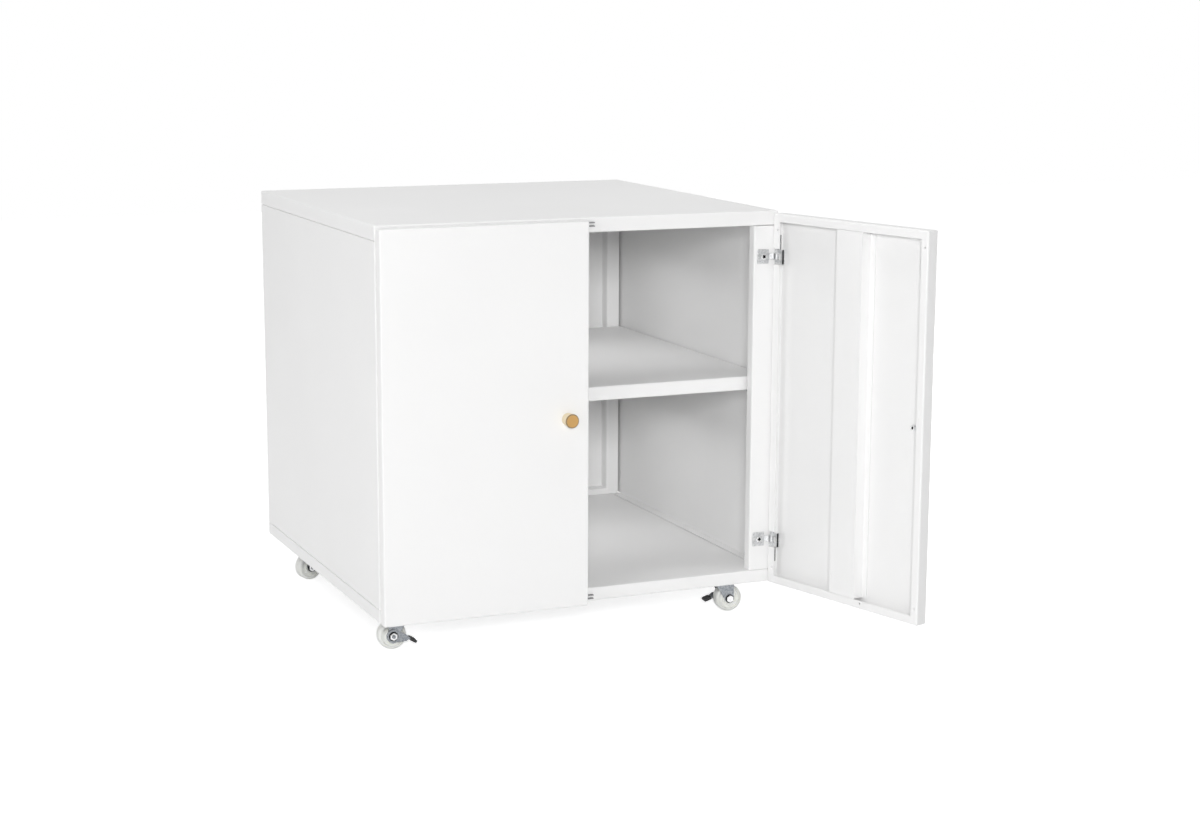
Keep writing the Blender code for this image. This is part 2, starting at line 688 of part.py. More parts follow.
def make_hinge(word, side, level, hinge):
    """A frame leaf on the stile, a leaf under the door's return, the pin between them and a screw."""
    name = word + "_" + level + "_"
    z = HINGE_Z[level]
    low, high = z - HINGE_HEIGHT / 2, z + HINGE_HEIGHT / 2
    middle = BARREL_R - LEAF_SHEET / 2
    closed = Matrix.Translation(hinge_axis(side))

    plate_y = HINGE_FORWARD - FIT - LEAF_SHEET / 2
    near = HINGE_INSET - LEAF_NEAR
    far = HINGE_INSET - LEAF_FAR
    neck = HINGE_INSET - NECK_START
    curl = arc((0, 0), middle, 90, -180)
    path = [(far, plate_y), (near, plate_y), (neck, middle)] + curl
    outline = ribbon([(side * x, y) for x, y in path], LEAF_SHEET)
    strip = prism_mesh("leaf", outline, low, high)
    leaf = add_object(name + "frame_leaf", strip, ZINC, matrix=closed)
    knuckle = MIDDLE_KNUCKLE / 2
    ends = []
    for start, end in ((low - FIT, z - knuckle), (z + knuckle, high + FIT)):
        corner = (side * (near - LEAF_SHEET), -2 * BARREL_R, start)
        ends.append((box_mesh(corner, (side * 2 * BARREL_R, 2 * HINGE_FORWARD, end)), closed))
    screw_at = Matrix.Translation(hinge_screw_place(side, level))
    ends.append((rod_mesh(SCREW_R + FIT, 4 * HINGE_FORWARD), screw_at @ AXIS_ON_Y))
    boolean(leaf, cutter_of(name + "leaf_cuts", ends))
    smooth(settle(leaf))

    level_y = INNER_Y - SHEET - FIT - LEAF_SHEET / 2
    reach = HINGE_INSET - BRACKET_REACH
    jog = HINGE_INSET - BRACKET_JOG
    path = [(reach, level_y - BRACKET_END), (reach, level_y), (jog, level_y)] + curl
    outline = ribbon([(side * x, y) for x, y in path], LEAF_SHEET)
    away = 1 if level == "upper" else -1
    root, tip = (high, high + TAB_LENGTH) if level == "upper" else (low, low - TAB_LENGTH)
    strip = prism_mesh("bracket", outline, min(low, tip), max(high, tip))
    bracket = add_object(name + "door_leaf", strip, ZINC, hinge)
    gap = knuckle + FIT
    corner = (side * (near - LEAF_SHEET), -2 * BARREL_R, z - gap)
    window = box_mesh(corner, (side * 2 * BARREL_R, 2 * BARREL_R, z + gap))
    past_tab = tip + away * FIT
    corner = (side * (jog - LEAF_SHEET), -2 * BARREL_R, root)
    barrel_end = box_mesh(corner, (side * 2 * BARREL_R, 2 * BARREL_R, past_tab))
    edge = HINGE_EDGE - HINGE_RETURN - TAB_EDGE
    corner = (side * (reach - LEAF_SHEET), -2 * BARREL_R, root)
    flange_end = box_mesh(corner, (side * edge, 2 * BARREL_R, past_tab))
    cuts = [(mesh, Matrix()) for mesh in (window, barrel_end, flange_end)]
    cutter = cutter_of(name + "bracket_cuts", cuts)
    cutter.parent = hinge
    boolean(bracket, cutter)
    smooth(settle(bracket))

    top = high + FIT
    profile = [(0, top + PIN_HEAD), (middle, top + PIN_HEAD), (middle, top)]
    profile += [(PIN_R, top), (PIN_R, low - FIT), (0, low - FIT)]
    smooth(settle(turned(name + "hinge_pin", profile, SMALL_STEPS, ZINC, matrix=closed)))

    seat = FIT + LEAF_SHEET + FIT
    profile = [(0, seat + SCREW_HEAD), (SCREW_FLAT_R, seat + SCREW_HEAD), (SCREW_HEAD_R, seat)]
    profile += [(SCREW_R, seat), (SCREW_R, seat - SCREW_LENGTH), (0, seat - SCREW_LENGTH)]
    outwards = screw_at @ Matrix.Rotation(pi / 2, 4, "X")
    smooth(settle(turned(name + "hinge_screw", profile, SMALL_STEPS, ZINC, matrix=outwards)))


# Casters. Each is modelled about its kingpin, on the floor, trailing along +x.


def wheel_profile():
    """Radius and width round half of a wheel, closed on itself: tread, rim, web and hub."""
    half = WHEEL_WIDTH / 2
    right = [(WHEEL_R, TREAD_FLAT / 2), (WHEEL_R - WHEEL_CROWN, half - WHEEL_EDGE / 2)]
    right += [(WHEEL_R - WHEEL_EDGE, half), (WHEEL_R - RIM_WALL, half - WHEEL_CROWN)]
    right += [(WHEEL_R - RIM_WALL, WEB_WIDTH / 2), (HUB_R, WEB_WIDTH / 2), (HUB_R, HUB_WIDTH / 2)]
    right += [(AXLE_R + FIT, HUB_WIDTH / 2)]
    return right[::-1] + [(r, -y) for r, y in right]


def make_fork_mesh():
    """A bent strip cut to a tapering side outline, with a cup for the swivel bearing on its crown."""
    inside, outside = FORK_GAP / 2, FORK_OUTER / 2
    foot = WHEEL_R - FORK_BOSS_R - FIT
    outline = [(-outside, foot), (-outside, CROWN_HIGH_Z), (outside, CROWN_HIGH_Z), (outside, foot)]
    outline += [(inside, foot), (inside, CROWN_LOW_Z), (-inside, CROWN_LOW_Z), (-inside, foot)]
    length = FORK_CROWN_R + TRAIL + FORK_BOSS_R
    bent = prism_mesh("fork", outline, -length, length)
    strip = add_object("fork", bent, ZINC, matrix=OUTLINE_IN_YZ)

    boss = (TRAIL, WHEEL_R)
    toe = TRAIL + FORK_BOSS_R
    shoulder = CROWN_LOW_Z - CROWN_SHOULDER
    side_view = [(-FORK_CROWN_R, shoulder), (-FORK_CROWN_R, CROWN_HIGH_Z + FIT)]
    side_view += [(toe, CROWN_HIGH_Z + FIT)] + arc(boss, FORK_BOSS_R, 0, -150)
    side_view += [(-FORK_HEEL, shoulder)]
    slab = prism_mesh("side", side_view, -FORK_OUTER, FORK_OUTER)
    side = add_object("fork_side", slab, None, matrix=OUTLINE_IN_XZ, collection=cutters)
    boolean(strip, side, "INTERSECT")

    sink = FORK_SHEET / 2
    profile = [(KINGPIN_R + FIT, CUP_TOP_Z), (FORK_CROWN_R - CUP_HEIGHT / 2, CUP_TOP_Z)]
    profile += [(FORK_CROWN_R, CROWN_HIGH_Z + sink), (FORK_CROWN_R, CROWN_LOW_Z + sink)]
    profile += [(KINGPIN_R + FIT, CROWN_LOW_Z + sink)]
    cup = turned("fork_cup", profile, ROUND_STEPS, None, closed=True, collection=cutters)
    boolean(strip, cup, "UNION")
    axle = Matrix.Translation((TRAIL, 0, WHEEL_R)) @ AXIS_ON_Y
    kingpin = Matrix.Translation((0, 0, CROWN_LOW_Z))
    holes = [(rod_mesh(AXLE_R + FIT, 2 * FORK_OUTER), axle)]
    holes.append((rod_mesh(KINGPIN_R + FIT, CUP_HEIGHT), kingpin))
    boolean(strip, cutter_of("fork_holes", holes))
    smooth(settle(strip))
    return strip


def make_plate_mesh():
    """The caster's top plate, with the bearing's race under it and the kingpin riveted through."""
    low = (-PLATE_LENGTH / 2, -PLATE_WIDTH / 2, PLATE_LOW_Z)
    high = (PLATE_LENGTH / 2, PLATE_WIDTH / 2, PLATE_TOP_Z)
    bm = box_bmesh(low, high)
    upright = [e for e in bm.edges if abs(e.verts[0].co.z - e.verts[1].co.z) > PLATE_THICK / 2]
    bmesh.ops.bevel(bm, geom=upright, offset=PLATE_CORNER, segments=3, affect="EDGES", profile=0.5)
    plate = add_object("plate", as_mesh(bm, "plate"), ZINC)
    head = CROWN_LOW_Z - FIT
    race = CUP_TOP_Z + FIT
    sink = PLATE_LOW_Z + PLATE_THICK / 2
    profile = [(0, sink), (RACE_R - RACE_RISE, sink), (RACE_R, race + RACE_RISE / 2)]
    profile += [(RACE_R - RACE_RISE, race), (KINGPIN_R, race), (KINGPIN_R, head), (RIVET_R, head)]
    profile += [(RIVET_FLAT_R, head - RIVET_HEAD), (0, head - RIVET_HEAD)]
    boolean(plate, turned("plate_kingpin", profile, ROUND_STEPS, None, collection=cutters), "UNION")
    smooth(settle(plate))
    return plate


def on_tread(points):
    """Points along and square to the lever's sloping tread, as points about the axle."""
    slope = radians(TREAD_SLOPE)
    along, up = (-cos(slope), -sin(slope)), (-sin(slope), cos(slope))
    return [(u * along[0] + w * up[0] - TREAD_START, u * along[1] + w * up[1]) for u, w in points]


def make_lever_meshes():
    """A brake lever on one side of the fork, about the axle, and the pad that slips over its tread."""
    tongue = LEVER_SHEET / 2
    flare = LEVER_ARM - TREAD_START
    arm = on_tread([(TREAD_LENGTH, -tongue), (TREAD_LENGTH, tongue), (0, tongue)])
    arm += [(flare, LEVER_ARM)] + arc((0, 0), LEVER_BOSS_R, 130, -130)
    arm += [(flare, -LEVER_ARM)] + on_tread([(0, -tongue)])
    outer = LEVER_OUTER / 2
    inner = outer - PAD_WIDTH
    lever = add_object("lever", prism_mesh("lever", arm, -outer, -inner), ZINC, matrix=OUTLINE_IN_XZ)
    clear = FORK_OUTER / 2 + FIT
    mouth = (-TREAD_START, inner - FIT, -TREAD_START)
    opening = box_mesh(mouth, (2 * LEVER_BOSS_R, clear, TREAD_START))
    boolean(lever, cutter_of("lever_mouth", [(opening, Matrix())]))
    bore = rod_mesh(AXLE_R + FIT, 2 * LEVER_OUTER)
    boolean(lever, cutter_of("lever_bore", [(bore, AXIS_ON_Y)]))
    smooth(settle(lever))

    slot = tongue + FIT
    block = PAD_THICK / 2
    bottom = TREAD_LENGTH + FIT
    outline = [(PAD_LENGTH, -block), (PAD_LENGTH, block), (FIT, block), (FIT, slot), (bottom, slot)]
    outline += [(bottom, -slot), (FIT, -slot), (FIT, -block)]
    sleeve = prism_mesh("pad", on_tread(outline), -outer, -inner)
    pad = add_object("pad", sleeve, BLACK_PLASTIC, matrix=OUTLINE_IN_XZ)
    return lever, pad


def in_place(source):
    """The mesh of a piece with its own placing applied, so that copies share it."""
    bpy.context.view_layer.update()
    mesh = source.data
    mesh.transform(source.matrix_local)
    return mesh


def make_casters():
    """Four swivel casters, the front two with a brake: the left one pressed, the right one let go."""
    fork, plate = make_fork_mesh(), make_plate_mesh()
    lever, pad = make_lever_meshes()
    models = {piece.name: in_place(piece) for piece in (fork, plate, lever, pad)}
    for piece in (fork, plate, lever, pad):
        bpy.data.objects.remove(piece, do_unlink=True)
    for word, turn in SWIVELS.items():
        end, hand = word.split("_")
        side = -1 if hand == "left" else 1
        place = (side * (WIDTH / 2 - KINGPIN_INSET), CASTER_Y[end], 0)
        fixed = add_empty(word + "_kingpin", place)
        swivel = add_empty(word + "_swivel", (0, 0, 0), radians(turn), fixed)
        axle = add_empty(word + "_axle_line", (TRAIL, 0, WHEEL_R), 0, swivel)
        add_object(word + "_caster_plate", models["plate"], ZINC, fixed)
        add_object(word + "_fork", models["fork"], ZINC, swivel)
        wheel = turned(word + "_wheel", wheel_profile(), WHEEL_STEPS, NYLON, True, axle, AXIS_ON_Y)
        smooth(settle(wheel))
        braked = end == "front"
        make_axle(word, axle, LEVER_OUTER / 2 if braked else FORK_OUTER / 2)
        if braked:
            tip = -BRAKE_DROP if hand == "left" else 0.0
            pedal = add_empty(word + "_pedal", (0, 0, 0), 0, axle)
            pedal.rotation_euler = (0, radians(tip), 0)
            add_object(word + "_brake_lever", models["lever"], ZINC, pedal)
            add_object(word + "_brake_pad", models["pad"], BLACK_PLASTIC, pedal)


def make_axle(word, axle, far_side):
    """An axle bolt: its nut is outside the fork or the lever on the far side, its head on the near."""
    profile = []
    for sign, face in ((1, far_side + FIT), (-1, FORK_OUTER / 2 + FIT)):
        end = face + AXLE_HEAD
        part = [(0, end), (AXLE_HEAD_R - AXLE_CHAMFER, end), (AXLE_HEAD_R, end - AXLE_CHAMFER)]
        part += [(AXLE_HEAD_R, face), (AXLE_R, face)]
        profile += [(r, sign * y) for r, y in part[::sign]]
    smooth(settle(turned(word + "_axle", profile, SMALL_STEPS, ZINC, False, axle, AXIS_ON_Y)))


make_top_and_base()
make_side_panel("left_side_panel", -1)
make_side_panel("right_side_panel", 1)
make_back_panel()
make_caster_rails()
make_shelf()
make_catch("upper_magnetic_catch", UPPER_CATCH_Z)
make_catch("lower_magnetic_catch", LOWER_CATCH_Z)
make_door("left", -1, 0.0)
make_door("right", 1, RIGHT_DOOR_ANGLE)
for hand_word, hand_side in (("left", -1), ("right", 1)):
    hinge_line = bpy.data.objects[hand_word + "_door_hinge"]
    for hinge_level in HINGE_Z:
        make_hinge(hand_word, hand_side, hinge_level, hinge_line)
make_casters()
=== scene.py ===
# %% [markdown]
# # A white steel cabinet on casters
#
# The solids of the cabinet come ready made: panels, doors, hinges, casters. This lesson dresses them.
# We set the camera where the photographer stood, light a pale studio, mix the finishes (powder coat,
# zinc plate, nylon, turned wood, black plastic), and then model the small pieces that the solids only
# hint at: wheels with a dished web, hexagon bolts, cross-head screws, ribbed brake pads, wooden knobs.

# %% Fetch the frame
import json
from math import atan2, cos, pi, radians, sin

import bmesh
import bpy
from mathutils import Matrix, Vector

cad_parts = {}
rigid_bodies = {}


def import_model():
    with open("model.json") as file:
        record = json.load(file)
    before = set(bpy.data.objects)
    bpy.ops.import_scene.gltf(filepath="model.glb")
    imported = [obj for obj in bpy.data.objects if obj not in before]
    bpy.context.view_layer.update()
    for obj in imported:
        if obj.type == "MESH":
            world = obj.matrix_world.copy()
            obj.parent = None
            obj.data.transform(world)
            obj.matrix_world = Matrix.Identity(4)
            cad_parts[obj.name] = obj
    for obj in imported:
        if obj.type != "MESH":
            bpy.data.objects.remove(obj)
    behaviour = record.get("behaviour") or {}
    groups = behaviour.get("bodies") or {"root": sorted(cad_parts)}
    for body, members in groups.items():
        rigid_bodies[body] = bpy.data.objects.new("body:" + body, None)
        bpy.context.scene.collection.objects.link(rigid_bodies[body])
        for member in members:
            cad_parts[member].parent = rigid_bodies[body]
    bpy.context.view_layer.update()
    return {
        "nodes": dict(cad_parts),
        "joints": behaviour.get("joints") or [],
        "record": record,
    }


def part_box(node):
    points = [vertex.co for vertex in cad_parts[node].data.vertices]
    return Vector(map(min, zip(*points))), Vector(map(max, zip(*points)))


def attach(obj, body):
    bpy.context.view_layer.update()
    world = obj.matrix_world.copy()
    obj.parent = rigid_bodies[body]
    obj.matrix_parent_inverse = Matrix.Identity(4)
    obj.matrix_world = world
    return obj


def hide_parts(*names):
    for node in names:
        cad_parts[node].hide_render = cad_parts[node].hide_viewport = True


for leftover in list(bpy.data.objects):
    bpy.data.objects.remove(leftover, do_unlink=True)

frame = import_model()
nodes = frame["nodes"]
joints = {joint["name"]: joint for joint in frame["joints"]}

# %% [markdown]
# ## The camera
#
# The photograph was taken a good three metres away, a little to the left and above the top panel, so
# that the closed left door, the left side and the inside all show. We could place a camera by eye,
# but the edges of a box give its vanishing points, and those give the angles and the lens. The values
# here come from such a fit, with the cabinet's own sizes in metres.

# %% Camera
LENS_MM, SENSOR_MM = 67.72, 36.0
CAMERA_PLACE = (-1.2070, -3.1172, 0.9032)
YAW, PITCH, ROLL = radians(23.495), radians(10.623), radians(0.237)

camera_data = bpy.data.cameras.new("photo_camera")
camera_data.sensor_fit = "HORIZONTAL"
camera_data.sensor_width = SENSOR_MM
camera_data.lens = LENS_MM
camera = bpy.data.objects.new("photo_camera", camera_data)
bpy.context.scene.collection.objects.link(camera)
aim = Matrix.Rotation(-YAW, 4, "Z") @ Matrix.Rotation(pi / 2 - PITCH, 4, "X")
camera.matrix_world = Matrix.Translation(CAMERA_PLACE) @ aim @ Matrix.Rotation(ROLL, 4, "Z")
bpy.context.scene.camera = camera
print("camera at", [round(v, 3) for v in camera.location], "lens", LENS_MM, "mm")

# %% [markdown]
# ## Tools for nodes
#
# A material is a small graph of nodes. Each of these helpers places one node, joins it up and hands
# back its output, so that a graph reads like a sum. A value is a socket or a plain number.

# %% Node tools
def set_input(tree, socket, value):
    """Feed a node's input from a socket, or set it to a number."""
    if isinstance(value, float):
        socket.default_value = value
    else:
        tree.links.new(value, socket)


def remap(tree, value, low, high, start=0.0, end=1.0):
    """Map a value from start to end onto low to high."""
    node = tree.nodes.new("ShaderNodeMapRange")
    node.inputs["From Min"].default_value = start
    node.inputs["From Max"].default_value = end
    for title, feed in (("Value", value), ("To Min", low), ("To Max", high)):
        set_input(tree, node.inputs[title], feed)
    return node.outputs["Result"]


def blend_values(tree, kind, first, second):
    """A Math node on two values."""
    node = tree.nodes.new("ShaderNodeMath")
    node.operation = kind
    for index, value in enumerate((first, second)):
        set_input(tree, node.inputs[index], value)
    return node.outputs[0]


def vector_step(tree, kind, place, constant=None):
    """A Vector Math node on a place, with a constant vector where its kind takes one."""
    node = tree.nodes.new("ShaderNodeVectorMath")
    node.operation = kind
    tree.links.new(place, node.inputs[0])
    if constant is not None:
        node.inputs[1].default_value = constant
    return node.outputs["Value" if kind in ("LENGTH", "DOT_PRODUCT") else "Vector"]


def seen_by(tree, *rays):
    """A value that is 1 for the named kinds of ray and 0 for the others."""
    path = tree.nodes.new("ShaderNodeLightPath")
    value = path.outputs[rays[0]]
    for ray in rays[1:]:
        value = blend_values(tree, "MAXIMUM", value, path.outputs[ray])
    return value


BACKDROP_RAYS = ("Is Camera Ray", "Is Glossy Ray", "Is Transmission Ray")
print("the backdrop shows to", BACKDROP_RAYS)

# %% [markdown]
# ## The floor
#
# The floor is one big sheet of white paper. It glows for the camera and for reflections alone, which
# makes it white without adding light to the object, and it glows less near the cabinet, so that the
# cabinet's shadow stays.

# %% Floor
FLOOR_HALF, FLOOR_DROP, PAPER_TONE = 6.0, 0.0002, 0.80
GLOW_NEAR, GLOW_FAR = 0.66, 0.88
NEAR_REACH, FAR_REACH = 0.35, 1.30

bpy.ops.mesh.primitive_plane_add(size=2 * FLOOR_HALF, location=(0, 0, -FLOOR_DROP))
floor = bpy.context.object
floor.name = "studio_floor"
floor_paint = bpy.data.materials.new("studio_white")
floor_paint.use_nodes = True
tree = floor_paint.node_tree
tree.nodes.clear()
paper = tree.nodes.new("ShaderNodeBsdfDiffuse")
paper.inputs["Color"].default_value = (PAPER_TONE, PAPER_TONE, PAPER_TONE, 1)
glow = tree.nodes.new("ShaderNodeEmission")
reach = vector_step(tree, "LENGTH", tree.nodes.new("ShaderNodeTexCoord").outputs["Object"])
spread = remap(tree, reach, GLOW_NEAR, GLOW_FAR, NEAR_REACH, FAR_REACH)
lift = blend_values(tree, "MULTIPLY", seen_by(tree, *BACKDROP_RAYS), spread)
tree.links.new(lift, glow.inputs["Strength"])
both = tree.nodes.new("ShaderNodeAddShader")
tree.links.new(paper.outputs[0], both.inputs[0])
tree.links.new(glow.outputs[0], both.inputs[1])
surface = tree.nodes.new("ShaderNodeOutputMaterial")
tree.links.new(both.outputs[0], surface.inputs["Surface"])
floor.data.materials.append(floor_paint)
print("floor", 2 * FLOOR_HALF, "m across")

# %% [markdown]
# ## The lamps and the room
#
# The main light stands in front and a little above, so it shines right into the compartments, and the
# rails throw a soft shadow along the top of the far wall. Broad lamps from the left, from behind on
# both sides and from overhead light the other faces. A deep box still stays dark inside, so each
# compartment has a faint lamp under its ceiling that the camera can't see, as a photographer would
# hide one. The lamps show in no reflection: bright metal mirrors the white room instead.

# %% Lamps and room
ROOM_LIGHT = 0.28
MIDDLE = (0, 0, 0.3)
# Name, place, side of the square in metres, watts
LAMPS = (
    ("front_softbox", (-1.228, -3.468, 1.252), 0.5, 58),
    ("left_softbox", (-3.11, -1.65, 1.05), 1.6, 22),
    ("rear_left_softbox", (-2.50, 1.50, 0.90), 1.2, 9),
    ("rear_right_softbox", (2.60, 1.30, 0.90), 1.4, 22),
    ("overhead_softbox", (-0.10, -0.20, 3.40), 1.6, 32),
)
# Height in metres and watts of the lamps inside, one in each compartment
FILLS = ((0.50, 0.19), (0.26, 0.22))
FILL_X, FILL_SIZE = 0.09, 0.30


def add_lamp(name, place, target, size, power):
    """A square area lamp that looks at a point and shows in no reflection."""
    data = bpy.data.lights.new(name, "AREA")
    data.shape = "SQUARE"
    data.size = size
    data.energy = power
    lamp = bpy.data.objects.new(name, data)
    lamp.visible_glossy = False
    bpy.context.scene.collection.objects.link(lamp)
    away = Vector(place) - Vector(target)
    lamp.matrix_world = Matrix.Translation(place) @ away.to_track_quat("Z", "Y").to_matrix().to_4x4()
    return lamp


for name, place, size, power in LAMPS:
    add_lamp(name, place, MIDDLE, size, power)
for height, power in FILLS:
    fill = add_lamp("hidden_fill", (FILL_X, 0.0, height), (FILL_X, 0.0, 0), FILL_SIZE, power)
    fill.visible_camera = False

world = bpy.data.worlds.new("studio_air")
world.use_nodes = True
bpy.context.scene.world = world
tree = world.node_tree
air = tree.nodes["Background"]
air.inputs["Color"].default_value = (1, 1, 1, 1)
level = remap(tree, seen_by(tree, *BACKDROP_RAYS), ROOM_LIGHT, 1.0)
tree.links.new(level, air.inputs["Strength"])

bpy.context.scene.view_settings.view_transform = "Standard"
print("studio: lamps", len(bpy.data.lights), "and room light", ROOM_LIGHT)

# %% [markdown]
# ## Effects that several finishes share
#
# No real surface is one flat colour. Powder coat has a fine orange peel and a tone that drifts over a
# big sheet, zinc plate has a faint spangle and draw lines, moulded plastic is clouded. Each of these
# is built once as a shader node group with named sockets, and each finish sets its own values. The
# groups read the piece's own coordinates in metres, so the grain keeps its size on every piece.

# %% Node groups
PLACE = ("Place", (0.0, 0.0, 0.0))
NOISE_SPAN = (0.3, 0.7)   # where most of a noise texture's values lie
GRIT_SHARE = 0.35
MOTTLE_SPAN = (0.08, 0.42)
SCUFF_FULL = 0.8


def new_group(name, inputs, outputs):
    """An empty shader node group with its sockets; inputs are (name, value), outputs names."""
    group = bpy.data.node_groups.new(name, "ShaderNodeTree")
    for title, value in inputs:
        kind = "NodeSocketFloat" if isinstance(value, float) else "NodeSocketVector"
        socket = group.interface.new_socket(title, in_out="INPUT", socket_type=kind)
        socket.default_value = value
    for title in outputs:
        group.interface.new_socket(title, in_out="OUTPUT", socket_type="NodeSocketFloat")
    return group, group.nodes.new("NodeGroupInput"), group.nodes.new("NodeGroupOutput")


def noise(group, place, scale, detail):
    """A noise texture; its scale is in features per metre."""
    node = group.nodes.new("ShaderNodeTexNoise")
    node.inputs["Detail"].default_value = detail
    group.links.new(place, node.inputs["Vector"])
    set_input(group, node.inputs["Scale"], scale)
    return node.outputs["Fac"]


# Orange peel: a soft ripple about 1.6 mm across with a finer grit on it, and a slow drift of tone.
peel, peel_in, peel_out = new_group(
    "coat_peel", [PLACE, ("Ripple", 620.0), ("Grit", 2600.0), ("Drift", 2.2)],
    ["Height", "Tone", "Polish"])
ripple = noise(peel, peel_in.outputs["Place"], peel_in.outputs["Ripple"], 1.5)
grit = noise(peel, peel_in.outputs["Place"], peel_in.outputs["Grit"], 2.0)
drift = noise(peel, peel_in.outputs["Place"], peel_in.outputs["Drift"], 3.0)
fine = blend_values(peel, "MULTIPLY", grit, GRIT_SHARE)
peel.links.new(blend_values(peel, "ADD", ripple, fine), peel_out.inputs["Height"])
peel.links.new(remap(peel, drift, 0.0, 1.0, *NOISE_SPAN), peel_out.inputs["Tone"])
peel.links.new(remap(peel, grit, 0.0, 1.0, *NOISE_SPAN), peel_out.inputs["Polish"])

# Plating: fine draw lines along one direction, and clouded cells where the zinc took differently.
plate, plate_in, plate_out = new_group(
    "zinc_bloom", [PLACE, ("Lines", 900.0), ("Cells", 380.0)], ["Height", "Tone", "Dull"])
stretch = vector_step(plate, "MULTIPLY", plate_in.outputs["Place"], (1.0, 1.0, 0.08))
lines = noise(plate, stretch, plate_in.outputs["Lines"], 2.0)
cells = plate.nodes.new("ShaderNodeTexVoronoi")
plate.links.new(plate_in.outputs["Place"], cells.inputs["Vector"])
plate.links.new(plate_in.outputs["Cells"], cells.inputs["Scale"])
cloud = noise(plate, plate_in.outputs["Place"], 160.0, 4.0)
mottle = blend_values(plate, "MULTIPLY", cells.outputs["Distance"], cloud)
plate.links.new(blend_values(plate, "ADD", lines, mottle), plate_out.inputs["Height"])
plate.links.new(remap(plate, mottle, 0.0, 1.0, *MOTTLE_SPAN), plate_out.inputs["Tone"])
plate.links.new(remap(plate, cloud, 0.0, 1.0, *NOISE_SPAN), plate_out.inputs["Dull"])

# Handling: small scuffs that only change the polish, as fingers and floors leave them.
rub, rub_in, rub_out = new_group(
    "scuffs", [PLACE, ("Size", 45.0), ("Amount", 0.5)], ["Mask"])
patch = noise(rub, rub_in.outputs["Place"], rub_in.outputs["Size"], 6.0)
scuff_start = blend_values(rub, "SUBTRACT", 1.0, rub_in.outputs["Amount"])
edge = rub.nodes.new("ShaderNodeMapRange")
edge.inputs["From Max"].default_value = SCUFF_FULL
rub.links.new(scuff_start, edge.inputs["From Min"])
rub.links.new(patch, edge.inputs["Value"])
rub.links.new(edge.outputs["Result"], rub_out.inputs["Mask"])
print("node groups:", [g.name for g in bpy.data.node_groups])

# %% [markdown]
# ## Powder coat and plastics
#
# A finish is a Principled shader with its constant values set on the shader itself, and with colour,
# roughness and bump driven by the groups. Two colours per finish are enough: the drift mixes them.
# The white coat must read as one clean white, so its two tones lie within a hair of each other. Hands
# polish it, so scuffs take a little off its roughness. On nylon and black plastic they add to it.

# %% Powder coat and plastics
def new_finish(name, metallic, specular=0.5):
    """A material with its Principled shader, and the piece's own coordinates."""
    material = bpy.data.materials.new(name)
    material.use_nodes = True
    shader = material.node_tree.nodes["Principled BSDF"]
    shader.inputs["Metallic"].default_value = metallic
    shader.inputs["Specular IOR Level"].default_value = specular
    place = material.node_tree.nodes.new("ShaderNodeTexCoord").outputs["Object"]
    return material, material.node_tree, shader, place


def use_group(tree, group, place, **values):
    """Place a node group in a material with its own values."""
    node = tree.nodes.new("ShaderNodeGroup")
    node.node_tree = group
    tree.links.new(place, node.inputs["Place"])
    for title, value in values.items():
        node.inputs[title].default_value = value
    return node


def mix_colours(tree, mask, first, second):
    """A Mix node between two colours; the first may be a socket."""
    mix = tree.nodes.new("ShaderNodeMix")
    mix.data_type = "RGBA"
    if isinstance(first, tuple):
        mix.inputs["A"].default_value = (*first, 1)
    else:
        tree.links.new(first, mix.inputs["A"])
    mix.inputs["B"].default_value = (*second, 1)
    tree.links.new(mask, mix.inputs["Factor"])
    return mix.outputs["Result"]


def two_tone(tree, shader, mask, first, second):
    """Mix two colours by a mask into the base colour."""
    tree.links.new(mix_colours(tree, mask, first, second), shader.inputs["Base Color"])


def set_bump(tree, shader, height, distance, strength):
    """Bump from a height, its distance in metres."""
    bump = tree.nodes.new("ShaderNodeBump")
    bump.inputs["Distance"].default_value = distance
    bump.inputs["Strength"].default_value = strength
    tree.links.new(height, bump.inputs["Height"])
    tree.links.new(bump.outputs["Normal"], shader.inputs["Normal"])


def skin_finish(name, specular, grain, scuffs, tones, rough, scuff_change, bump):
    """A coated or moulded skin: two tones, a span of roughness that scuffs change, a fine ripple."""
    material, tree, shader, place = new_finish(name, 0.0, specular)
    skin = use_group(tree, peel, place, **grain)
    worn = use_group(tree, rub, place, **scuffs)
    two_tone(tree, shader, skin.outputs["Tone"], *tones)
    polish = remap(tree, skin.outputs["Polish"], *rough)
    change = blend_values(tree, "MULTIPLY", worn.outputs["Mask"], scuff_change)
    tree.links.new(blend_values(tree, "ADD", polish, change), shader.inputs["Roughness"])
    set_bump(tree, shader, skin.outputs["Height"], *bump)
    return material


white_coat = skin_finish(
    "white_powder_coat", specular=0.4, grain={}, scuffs={"Size": 9.0, "Amount": 0.45},
    tones=((0.885, 0.884, 0.882), (0.910, 0.909, 0.907)),
    rough=(0.42, 0.52), scuff_change=-0.08, bump=(0.00006, 0.35))
